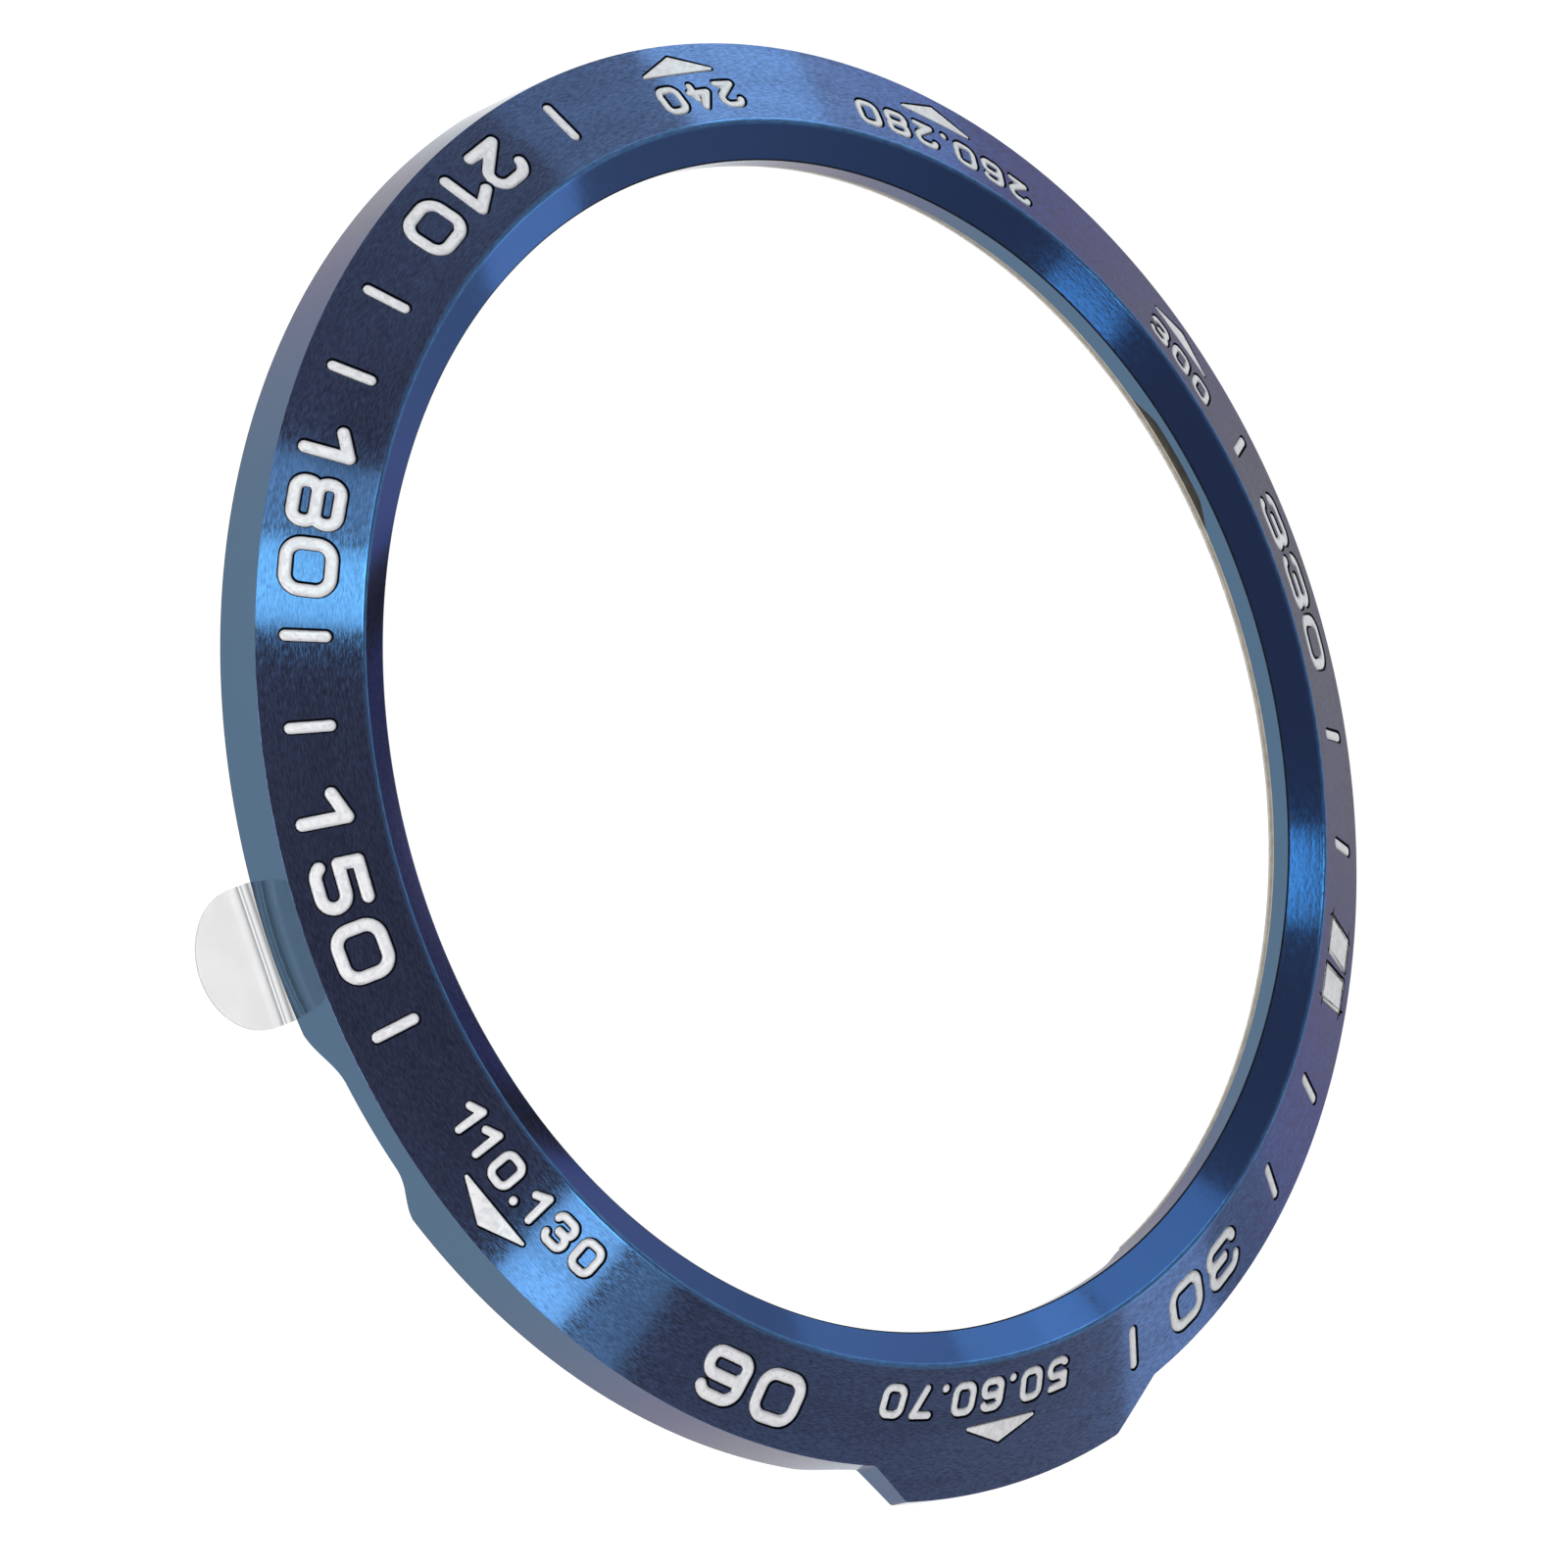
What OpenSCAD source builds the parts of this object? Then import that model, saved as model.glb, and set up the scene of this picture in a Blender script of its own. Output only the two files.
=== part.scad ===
// Smartwatch bezel ring: a stick-on metal ring with an enamelled degree dial.
// Millimetres. The ring's axis is Z, the index mark is at +Y, and the part lies on z = 0.
// A bearing is counted clockwise from the index mark, seen from above, like on a compass.

/* [Ring] */
// Diameter over the outer wall
outer_dia = 51.0; // [46:0.1:56]
// Width of the sloped dial face, from the outer wall to the crest
face_w = 3.26; // [3.0:0.01:3.7]
// Width of the inner bevel, from the crest to the window
bevel_w = 1.29; // [1.0:0.01:1.8]
// Height of the crest above the rim of the skirt
crest_h = 3.78; // [3.5:0.02:4.4]
// Height of the outer wall above the rim of the skirt
wall_h = 1.96; // [1.7:0.02:2.3]
// Height of the window's wall at its upper edge
lip_top_h = 3.13; // [2.8:0.01:3.4]
// Height of the window's wall at its lower edge
lip_low_h = 2.34; // [2.0:0.01:2.6]
// Thickness of the skirt that hangs round the watch's own bezel
skirt_wall = 0.8; // [0.5:0.05:1.2]
// Height of the flange's underside where it meets the skirt
flange_root_h = 1.30; // [1.2:0.01:1.45]
// Width of the broken edge on the crest, each way
edge_break = 0.06; // [0.02:0.01:0.12]

/* [Cooling and grip slots] */
// Bearings of the slots that are milled through the skirt
slot_bearings = [129.3, 230.7, 309.3];
// Height of a slot at the outer wall
slot_h = 0.95; // [0.6:0.01:1.1]
// Width of a slot's flat roof
slot_flat_w = 3.4; // [2:0.1:5]
// Width of the curved run-out on each side of a slot
slot_run = 2.3; // [1.5:0.1:3]
// Rise of a slot's roof towards the window, in degrees
slot_tilt = 21.6; // [16:0.1:22]

/* [Button guard] */
// How far the guard stands out from the outer wall
guard_reach = 1.17; // [0.6:0.01:1.8]
// Bearing of the guard's middle
guard_bearing = 58.9; // [50:0.1:66]
// Half of the angle that the guard takes at its root
guard_root_half = 16.0; // [12:0.1:17]
// Half of the angle that the guard takes at its tip
guard_tip_half = 11.5; // [8:0.1:13]
// Bearing of the middle of the slot under the guard
guard_slot_bearing = 59.75; // [57:0.05:62]
// Half of the angle of the slot's flat roof under the guard
guard_slot_half = 15.3; // [12:0.1:16]
// Width of the curved run-out on each side of that slot
guard_slot_run = 2.0; // [1.5:0.1:2.4]

/* [Engraving and enamel] */
// Depth of the engraved pockets, square to the dial face
pocket_depth = 0.18; // [0.12:0.01:0.3]
// How far the enamel lies below the dial face
enamel_low = 0.05; // [0.04:0.01:0.08]
// Clearance of the enamel to the pocket's walls and floor
enamel_gap = 0.01; // [0.005:0.005:0.02]

/* [Index and marks] */
// Bearing of the index mark
index_bearing = -0.25; // [-1:0.05:1]
// Distance from the outer wall to the middle of the index, ticks and numerals
mark_in = 1.5; // [1.4:0.01:1.6]
// Length of the index blocks along the slope
index_len = 2.2; // [1.6:0.05:2.4]
// Width over both index blocks at their inner ends
index_w = 3.34; // [2.6:0.02:3.8]
// Width over both index blocks at their outer ends
index_tip_w = 2.92; // [2.4:0.02:3.2]
// Gap between the index blocks at their inner ends
index_gap = 0.4; // [0.2:0.02:0.6]
// Gap between the index blocks at their outer ends
index_tip_gap = 0.22; // [0.15:0.01:0.4]
// Bearings of the ticks
tick_bearings = [11.7, 21.7, 45.2, 135.5, 160.8, 168.3, 191.8, 199.6, 226.2, 311.9, 338.8, 348.8];
// Length of a tick along the slope
tick_len = 1.92; // [1.4:0.02:2.2]
// Width of a tick
tick_w = 0.43; // [0.3:0.01:0.6]
// Bearings of the arrows
arrow_bearings = [61.8, 118.5, 241.0, 269.7, 301.4];
// Width of an arrow's base
arrow_w = 3.3; // [2.4:0.05:3.6]
// Length of an arrow along the slope
arrow_len = 0.75; // [0.6:0.01:0.9]
// Distance from the outer wall to the middle of an arrow
arrow_in = 0.78; // [0.7:0.01:0.85]

/* [Numerals] */
// Bearings of the numerals 30, 90, 150, 180, 210 and 330
numeral_bearings = [34.3, 89.6, 147.7, 178.9, 213.1, 324.8];
// Height of a numeral along the slope
numeral_h = 2.13; // [1.6:0.01:2.3]
// Width of a numeral
numeral_w = 2.0; // [1.5:0.02:2.1]
// Width of the numeral 1
one_w = 1.28; // [1:0.02:1.4]
// Width of the numerals' stroke
stroke_w = 0.45; // [0.3:0.01:0.5]
// Gap between two numerals
numeral_gap = 0.34; // [0.2:0.01:0.4]
// Radius of the numerals' corners at the middle of the stroke
corner_r = 0.5; // [0.35:0.01:0.6]

/* [Tape and liner] */
// Thickness of each adhesive layer
adhesive_t = 0.07; // [0.05:0.005:0.08]
// Thickness of the tape's carrier film
carrier_t = 0.065; // [0.05:0.005:0.08]
// Thickness of the release liner and its pull tab
liner_t = 0.05; // [0.04:0.005:0.06]
// Clearance between two layers
layer_gap = 0.01; // [0.005:0.005:0.015]
// Gap from the tape's outer edge to the skirt
tape_edge_gap = 0.2; // [0.1:0.05:0.4]
// Set-back of the tape's inner edge from the window's wall
tape_set_back = 0.05; // [0.03:0.01:0.3]
// Bearings where the tape's inner edge is cut back, with half of each cut's angle
tape_notches = [[230.7, 7.7], [59.8, 19.8]];
// Depth of those cuts from the window's edge
tape_notch_depth = 1.9; // [1.2:0.1:2.4]

/* [Pull tab] */
// Bearing of the pull tab
tab_bearing = 144.45; // [143:0.05:148]
// Width of the pull tab
tab_w = 4.9; // [3.5:0.1:5]
// Reach of the pull tab beyond the outer wall
tab_reach = 3.2; // [3:0.1:4.5]
// Gap from the tape's outer edge to the liner's neck
neck_gap = 0.15; // [0.1:0.01:0.3]
// Distance of the crease from the outer wall
crease_out = 0.36; // [0.3:0.01:0.5]
// Clearance on each side of the crease
crease_gap = 0.05; // [0.04:0.005:0.08]
// Clearance between the tab and the rim of the skirt
rim_gap = 0.05; // [0.03:0.005:0.08]

/* [Hidden] */

outer_r = outer_dia / 2;
crest_r = outer_r - face_w;
window_r = crest_r - bevel_w;
skirt_r = outer_r - skirt_wall;
guard_r = outer_r + guard_reach;
mark_r = outer_r - mark_in;
arrow_r = outer_r - arrow_in;

// The rim of the skirt stands on the pull tab's film, so everything above is lifted by this
rim_z = liner_t + rim_gap;
// Slope of the dial face, and its tilt in degrees
face_fall = (crest_h - wall_h) / (outer_r - crest_r);
face_tilt = atan(face_fall);
function face_z(r) = rim_z + crest_h - face_fall * (r - crest_r);
bevel_rise = (crest_h - lip_top_h) / (crest_r - window_r);
flange_fall = (lip_low_h - flange_root_h) / (skirt_r - window_r);
function under_z(r) = rim_z + lip_low_h - flange_fall * (r - window_r);
function slot_z(r) = rim_z + slot_h - tan(slot_tilt) * (r - outer_r);

// Points on a circle at a bearing
function at_bearing(b, r) = [r * sin(b), r * cos(b)];

// Cutters reach this far past what they cut
past = 1;
ring_facets = 96;
film_facets = 72;
tip_facets = 48;
corner_steps = 3;
run_steps = 6;

// Centre-line box of a numeral
half_w = (numeral_w - stroke_w) / 2;
half_h = (numeral_h - stroke_w) / 2;
one_half = (one_w - stroke_w) / 2;

function arc(x, y, r, from, to, steps = corner_steps) =
    [for (i = [0:steps]) let (a = from + (to - from) * i / steps) [x + r * cos(a), y + r * sin(a)]];

// Unit direction of a path at one of its points
function unit(v) = v / norm(v);
function before(p, i) = unit(p[max(i, 1)] - p[max(i, 1) - 1]);
function after(p, i) = unit(p[min(i, len(p) - 2) + 1] - p[min(i, len(p) - 2)]);
function heading(p, i) = unit(before(p, i) + after(p, i));
// Points beside a path, mitred at its corners
function side(p, s) = [
    for (i = [0:len(p) - 1])
        let (d = heading(p, i), stretch = 2 / norm(before(p, i) + after(p, i)))
            p[i] + s * stretch * [-d.y, d.x]
];
function turned(p) = [for (i = [len(p) - 1:-1:0]) p[i]];
function cap(c, d, r) =
    let (a = atan2(d.y, d.x))
    [for (i = [1:2 * corner_steps - 1]) let (t = a + 90 - 90 * i / corner_steps) c + r * [cos(t), sin(t)]];

// A stroke of width w with round ends along a path
module stroke(p, w) {
    last = len(p) - 1;
    polygon(concat(
        side(p, w / 2),
        cap(p[last], heading(p, last), w / 2),
        turned(side(p, -w / 2)),
        cap(p[0], -heading(p, 0), w / 2)
    ));
}

function rounded(a, b, r) = concat(
    arc(a - r, b - r, r, 0, 90),
    arc(r - a, b - r, r, 90, 180),
    arc(r - a, r - b, r, 180, 270),
    arc(a - r, r - b, r, 270, 360)
);

// A closed stroke of width w round a rounded box with half sizes a and b
module loop(y, a, b, w) {
    r = min(corner_r, a, b * 0.9);
    translate([0, y]) difference() {
        polygon(rounded(a + w / 2, b + w / 2, r + w / 2));
        polygon(rounded(a - w / 2, b - w / 2, r - w / 2));
    }
}

// The numerals' shapes, each centred, with a stroke of width w
module zero(w) {
    loop(0, half_w, half_h, w);
}

module one(w) {
    stroke([[one_half, -half_h], [one_half, half_h]], w);
    stroke([[one_half, half_h], [-one_half, half_h - 0.42 * numeral_h]], w);
}

module three(w) {
    waist = 0.015;
    r = corner_r * 0.8;
    belly_r = (half_h - waist) / 2;
    for (s = [1, -1])
        scale([1, s]) stroke(concat(
            arc(r - half_w, half_h - r, r, 170, 90),
            arc(half_w - belly_r, half_h - belly_r, belly_r, 90, -90, 2 * corner_steps),
            [[-half_w * 0.15, waist]]
        ), w);
}

module five(w) {
    r = corner_r * 0.9;
    belly_top = half_h * 0.12;
    belly_r = (belly_top + half_h) / 2;
    stroke(concat(
        [[half_w * 0.85, half_h], [-half_w * 0.8, half_h], [-half_w * 0.86, belly_top]],
        arc(half_w - belly_r, belly_top - belly_r, belly_r, 90, -90, 2 * corner_steps),
        arc(r - half_w, r - half_h, r, -90, -170)
    ), w);
}

module eight(w) {
    for (s = [1, -1])
        loop(s * half_h / 2, half_w, half_h / 2, w);
}

module nine(w) {
    r = corner_r;
    loop(half_h * 0.42, half_w, half_h * 0.58, w);
    stroke(concat(
        [[half_w, half_h * 0.3]],
        arc(half_w - r, r - half_h, r, 0, -90),
        arc(r - half_w, r - half_h, r, -90, -170)
    ), w);
}

module two(w) {
    r = corner_r;
    stroke(concat(
        arc(r - half_w, half_h - r, r, 170, 90),
        arc(half_w - r, half_h - r, r, 90, -40, 2 * corner_steps),
        [[-half_w * 0.8, -half_h]]
    ), w);
    stroke([[-half_w * 0.8, -half_h], [half_w * 0.95, -half_h]], w);
}

module glyph(n, w) {
    if (n == 0) zero(w);
    if (n == 1) one(w);
    if (n == 2) two(w);
    if (n == 3) three(w);
    if (n == 5) five(w);
    if (n == 8) eight(w);
    if (n == 9) nine(w);
}

function glyph_w(n) = n == 1 ? one_w : numeral_w;
function run_w(d, k) = k < 0 ? 0 : run_w(d, k - 1) + glyph_w(d[k]) + numeral_gap;
// Distance of a numeral's middle from the middle of its group
function glyph_x(d, i) =
    run_w(d, i - 1) + glyph_w(d[i]) / 2 - (run_w(d, len(d) - 1) - numeral_gap) / 2;

// Puts a flat shape on the dial face: x is clockwise, y points outwards down the slope.
// Turned shapes have their tops towards the window.
module on_face(bearing, r, tops_in = false) {
    rotate([0, 0, -bearing]) translate([0, r, face_z(r)]) rotate([-face_tilt, 0, 0])
        rotate([0, 0, tops_in ? 180 : 0]) children();
}

// The solid of a mark: the enamel, or the wider and deeper pocket that it fills
module inlay(pocket) {
    low = pocket ? -pocket_depth : enamel_gap - pocket_depth;
    high = pocket ? past : -enamel_low;
    translate([0, 0, low]) linear_extrude(high - low) children();
}

function grown(pocket) = pocket ? enamel_gap : 0;

module numeral(bearing, digits, tops_in, pocket) {
    turn = tops_in ? -1 : 1;
    for (i = [0:len(digits) - 1])
        on_face(bearing + turn * glyph_x(digits, i) / mark_r * 180 / PI, mark_r, tops_in)
            inlay(pocket) glyph(digits[i], stroke_w + 2 * grown(pocket));
}

module numerals_30(pocket = false) numeral(numeral_bearings[0], [3, 0], false, pocket);
module numerals_90(pocket = false) numeral(numeral_bearings[1], [9, 0], true, pocket);
module numerals_150(pocket = false) numeral(numeral_bearings[2], [1, 5, 0], true, pocket);
module numerals_180(pocket = false) numeral(numeral_bearings[3], [1, 8, 0], true, pocket);
module numerals_210(pocket = false) numeral(numeral_bearings[4], [2, 1, 0], true, pocket);
module numerals_330(pocket = false) numeral(numeral_bearings[5], [3, 3, 0], false, pocket);

module index_blocks(pocket = false) {
    g = grown(pocket);
    on_face(index_bearing, mark_r) inlay(pocket)
        for (s = [1, -1]) scale([s, 1]) polygon([
            [index_gap / 2 - g, -index_len / 2 - g],
            [index_w / 2 + g, -index_len / 2 - g],
            [index_tip_w / 2 + g, index_len / 2 + g],
            [index_tip_gap / 2 - g, index_len / 2 + g]
        ]);
}

module ticks(pocket = false) {
    reach = (tick_len - tick_w) / 2;
    for (b = tick_bearings)
        on_face(b, mark_r) inlay(pocket) stroke([[0, -reach], [0, reach]], tick_w + 2 * grown(pocket));
}

module arrows(pocket = false) {
    g = grown(pocket);
    base_angle = atan(arrow_len / (arrow_w / 2));
    corner = arrow_w / 2 + g / tan(base_angle / 2);
    tip = arrow_len / 2 + g / cos(base_angle);
    for (b = arrow_bearings)
        on_face(b, arrow_r) inlay(pocket)
            polygon([[-corner, -arrow_len / 2 - g], [corner, -arrow_len / 2 - g], [0, tip]]);
}

// Outline of the ring seen from above: a disc with the guard's lobe
module plan() {
    root = [for (s = [-1, 1]) at_bearing(guard_bearing + s * guard_root_half, outer_r)];
    tip = [for (s = [-1, 1]) at_bearing(guard_bearing + s * guard_tip_half, guard_r)];
    flank = [for (i = [0, 1]) root[i] + (1 + past) * (tip[i] - root[i])];
    circle(outer_r, $fn = ring_facets);
    intersection() {
        circle(guard_r, $fn = ring_facets);
        polygon([
            [0, 0], root[0], flank[0],
            at_bearing(guard_bearing, guard_r + 4 * past),
            flank[1], root[1]
        ]);
    }
}

// Half width and drop of a slot's roof, with a curved run-out that ends at the rim
module slot_profile(from, to, run) {
    drop = slot_h * cos(slot_tilt);
    foot = -slot_h - 2 * past;
    function ease(u) = -drop * (1 - cos(180 * u)) / 2;
    polygon(concat(
        [[from - run, foot], [from - run, -drop]],
        [for (i = [1:run_steps]) [from - run + run * i / run_steps, ease(1 - i / run_steps)]],
        [for (i = [0:run_steps - 1]) [to + run * i / run_steps, ease(i / run_steps)]],
        [[to + run, -drop], [to + run, foot]]
    ));
}

module slot(bearing, flat_w, run) {
    rotate([0, 0, -bearing]) translate([0, outer_r, rim_z + slot_h])
        rotate([90 - slot_tilt, 0, 0]) translate([0, 0, -2 * guard_reach - past])
            linear_extrude(outer_r - window_r + 2 * guard_reach + 2 * past)
                slot_profile(-flat_w / 2, flat_w / 2, run);
}

// The wide slot under the guard: a cone for its roof, and a run-out at each end
module guard_slot() {
    run_flat_w = 0.4;
    in_r = window_r - past;
    out_r = guard_r + past;
    rotate([0, 0, 90 - guard_slot_bearing - guard_slot_half])
        rotate_extrude(angle = 2 * guard_slot_half, $fn = ring_facets)
            polygon([[in_r, -past], [out_r, -past], [out_r, slot_z(out_r)], [in_r, slot_z(in_r)]]);
    for (s = [-1, 1])
        slot(guard_slot_bearing + s * guard_slot_half, run_flat_w, guard_slot_run);
}

module bezel_ring() {
    blank_r = guard_r + past;
    color("#27406b") difference() {
        intersection() {
            rotate_extrude($fn = ring_facets) polygon([
                [skirt_r, rim_z],
                [blank_r, rim_z],
                [blank_r, face_z(blank_r)],
                [crest_r + edge_break, face_z(crest_r + edge_break)],
                [crest_r - edge_break, rim_z + crest_h - bevel_rise * edge_break],
                [window_r, rim_z + lip_top_h],
                [window_r, rim_z + lip_low_h],
                [skirt_r, rim_z + flange_root_h]
            ]);
            linear_extrude(crest_h + 2 * past) plan();
        }
        for (b = slot_bearings)
            slot(b, slot_flat_w, slot_run);
        guard_slot();
        index_blocks(true);
        ticks(true);
        arrows(true);
        numerals_30(true);
        numerals_90(true);
        numerals_150(true);
        numerals_180(true);
        numerals_210(true);
        numerals_330(true);
    }
}

module index_enamel() { color("#e8e6e8") index_blocks(); }
module tick_enamel() { color("#e8e6e8") ticks(); }
module arrow_enamel() { color("#e8e6e8") arrows(); }
module numeral_30() { color("#e8e6e8") numerals_30(); }
module numeral_90() { color("#e8e6e8") numerals_90(); }
module numeral_150() { color("#e8e6e8") numerals_150(); }
module numeral_180() { color("#e8e6e8") numerals_180(); }
module numeral_210() { color("#e8e6e8") numerals_210(); }
module numeral_330() { color("#e8e6e8") numerals_330(); }

// A thin layer under the flange, from one depth below it to another, cut back at the notches
module layer(from, to) {
    inner_r = window_r + tape_set_back;
    tape_r = skirt_r - tape_edge_gap;
    notch_r = window_r + tape_notch_depth;
    difference() {
        rotate_extrude($fn = film_facets) polygon([
            [inner_r, under_z(inner_r) - from],
            [tape_r, under_z(tape_r) - from],
            [tape_r, under_z(tape_r) - to],
            [inner_r, under_z(inner_r) - to]
        ]);
        for (n = tape_notches)
            rotate([0, 0, 90 - n[0] - n[1]])
                rotate_extrude(angle = 2 * n[1], $fn = film_facets)
                    translate([window_r - past, rim_z]) square([notch_r - window_r + past, crest_h]);
    }
}

upper_from = layer_gap;
carrier_from = upper_from + adhesive_t + layer_gap;
lower_from = carrier_from + carrier_t + layer_gap;
liner_from = lower_from + adhesive_t + layer_gap;

module upper_adhesive() { color("#b8b2a6") layer(upper_from, upper_from + adhesive_t); }
module tape_carrier() { color("#a09a90") layer(carrier_from, carrier_from + carrier_t); }
module lower_adhesive() { color("#b8b2a6") layer(lower_from, lower_from + adhesive_t); }

crease_r = outer_r + crease_out;

// The liner covers the lower adhesive. Its neck goes down inside the skirt and out under the rim.
module release_liner() {
    neck_r = skirt_r - tape_edge_gap - neck_gap;
    neck_top = under_z(neck_r) - liner_from - liner_t / 2;
    color("#dcd9d6") {
        layer(liner_from, liner_from + liner_t);
        rotate([0, 0, -tab_bearing]) {
            translate([-tab_w / 2, neck_r - liner_t, 0]) cube([tab_w, liner_t, neck_top]);
            translate([-tab_w / 2, neck_r - liner_t, 0])
                cube([tab_w, crease_r - crease_gap - neck_r + liner_t, liner_t]);
        }
    }
}

// The free end of the liner's film, beyond its crease
module pull_tab() {
    tip_r = tab_w / 2;
    tip_mid = outer_r + tab_reach - tip_r;
    start = crease_r + crease_gap;
    color("#e2e0e1") rotate([0, 0, -tab_bearing]) linear_extrude(liner_t) {
        intersection() {
            translate([0, tip_mid]) circle(tip_r, $fn = tip_facets);
            translate([-tip_r, start]) square([tab_w, tip_mid + tip_r]);
        }
        translate([-tip_r, start]) square([tab_w, tip_mid - start]);
    }
}

bezel_ring();
index_enamel();
tick_enamel();
arrow_enamel();
numeral_30();
numeral_90();
numeral_150();
numeral_180();
numeral_210();
numeral_330();
upper_adhesive();
tape_carrier();
lower_adhesive();
release_liner();
pull_tab();
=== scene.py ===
"""A smartwatch bezel ring: blue anodised metal with an enamelled degree dial, tape and a pull tab."""

import math

import bmesh
import bpy
from mathutils import Matrix, Vector


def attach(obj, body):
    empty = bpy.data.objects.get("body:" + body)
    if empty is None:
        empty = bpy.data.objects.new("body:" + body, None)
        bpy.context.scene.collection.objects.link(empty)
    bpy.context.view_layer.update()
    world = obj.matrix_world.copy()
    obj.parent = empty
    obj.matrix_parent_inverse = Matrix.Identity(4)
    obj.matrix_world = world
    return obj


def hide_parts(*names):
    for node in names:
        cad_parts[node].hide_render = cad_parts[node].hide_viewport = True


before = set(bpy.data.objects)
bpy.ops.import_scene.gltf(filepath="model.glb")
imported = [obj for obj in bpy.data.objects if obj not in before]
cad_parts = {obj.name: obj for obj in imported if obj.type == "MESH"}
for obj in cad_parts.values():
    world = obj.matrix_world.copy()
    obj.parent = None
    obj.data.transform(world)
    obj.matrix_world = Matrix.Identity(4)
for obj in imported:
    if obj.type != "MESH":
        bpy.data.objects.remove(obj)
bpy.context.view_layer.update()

bl_info = {
    "name": "Bezel ring",
    "version": (1, 0, 0),
    "blender": (4, 5, 0),
    "location": "View3D > Sidebar > Bezel ring",
    "description": "Builds an anodised smartwatch bezel ring with an enamelled degree dial",
    "category": "Object",
}

MM = 0.001
RING_STEPS = 1440
FILM_STEPS = 720
CORNER_STEPS = 8
# Distances in metres within which two points, or two heights, count as one, and within which a point
# counts as lying on a wall
SAME_POINT = 1e-8
SAME_HEIGHT = 1e-7
ON_WALL = 0.01 * MM
# Angles between two faces above which their shared edge is shaded sharp
METAL_SHARP = math.radians(14)
FILM_SHARP = math.radians(40)


def length(name, text, default_mm, top_mm=100.0):
    """A size in the property group, given in millimetres."""
    return bpy.props.FloatProperty(
        name=name, description=text, default=default_mm * MM, min=0.0, max=top_mm * MM,
        precision=5, subtype="DISTANCE", unit="LENGTH",
    )


def angle(name, text, default_deg):
    """A bearing or a tilt in the property group, given in degrees."""
    return bpy.props.FloatProperty(
        name=name, description=text, default=math.radians(default_deg), subtype="ANGLE", unit="ROTATION",
    )


def linear(hex_colour):
    """An sRGB hex colour as linear RGBA."""
    parts = [int(hex_colour[i:i + 2], 16) / 255 for i in (1, 3, 5)]
    return [c / 12.92 if c <= 0.04045 else ((c + 0.055) / 1.055) ** 2.4 for c in parts] + [1.0]


def colour(name, text, hex_colour):
    """A colour in the property group."""
    return bpy.props.FloatVectorProperty(
        name=name, description=text, default=linear(hex_colour), size=4, min=0.0, max=1.0, subtype="COLOR",
    )


class RingSizes(bpy.types.PropertyGroup):
    """Sizes of the metal ring's section, slots and guard."""

    outer_r: length("Outer radius", "Radius of the outer wall", 25.5)
    crest_r: length("Crest radius", "Radius where the dial face meets the inner bevel", 22.24)
    window_r: length("Window radius", "Radius of the window's wall", 20.95)
    skirt_r: length("Skirt radius", "Inner radius of the skirt", 24.7)
    rim_z: length("Rim height", "Height of the skirt's rim over the table", 0.1)
    wall_h: length("Wall height", "Height of the outer wall above the rim", 1.96)
    crest_h: length("Crest height", "Height of the crest above the rim", 3.78)
    lip_top_h: length("Lip top", "Upper edge of the window's wall above the rim", 3.13)
    lip_low_h: length("Lip foot", "Lower edge of the window's wall above the rim", 2.34)
    root_h: length("Flange root", "Height of the underside at the skirt", 1.30)
    slot_h: length("Slot height", "Height of a slot at the outer wall", 0.95)
    slot_tilt: angle("Slot tilt", "Rise of a slot's roof towards the window", 21.6)
    guard_reach: length("Guard reach", "How far the button guard stands out", 1.17)
    crown: length("Crown", "Rounding of the edges", 0.05)


class DialSizes(bpy.types.PropertyGroup):
    """Sizes of the engraved marks and of the enamel in them."""

    mark_r: length("Mark radius", "Radius of the middle of ticks and numerals", 24.0)
    pocket_depth: length("Pocket depth", "Depth of the engraving", 0.18)
    enamel_low: length("Enamel level", "How far the enamel lies below the face", 0.015)
    outline: length("Outline", "Width of the dark step round the enamel", 0.06)
    numeral_h: length("Numeral height", "Height of a large numeral", 2.03)
    numeral_w: length("Numeral width", "Width of a large numeral", 1.92)
    stroke_w: length("Stroke width", "Width of a large numeral's stroke", 0.45)
    small_h: length("Small height", "Height of a small numeral", 1.3)
    small_w: length("Small width", "Width of a small numeral", 1.12)
    small_stroke: length("Small stroke", "Width of a small numeral's stroke", 0.3)
    tick_len: length("Tick length", "Length of a tick", 1.78)
    tick_w: length("Tick width", "Width of a tick", 0.39)
    arrow_w: length("Arrow width", "Width of an arrow's base before its corners are rounded", 3.8)
    arrow_len: length("Arrow length", "Length of an arrow", 0.84)
    arrow_r: length("Arrow radius", "Radius of the middle of an arrow", 24.72)
    corner_r: length("Corner radius", "Rounding of the corners of the arrows and the index mark", 0.07)
    numeral_gap: length("Numeral gap", "Gap between two large figures", 0.42)
    small_gap: length("Small gap", "Gap between two small figures", 0.24)
    index_foot_w: length("Index foot", "Width of the double index mark at its inner end", 3.34)
    index_head_w: length("Index head", "Width of the double index mark at its outer end", 2.92)
    index_foot_gap: length("Index foot gap", "Gap in the index mark at its inner end", 0.4)
    index_head_gap: length("Index head gap", "Gap in the index mark at its outer end", 0.22)
    index_len: length("Index length", "Length of the index mark", 2.2)


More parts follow.
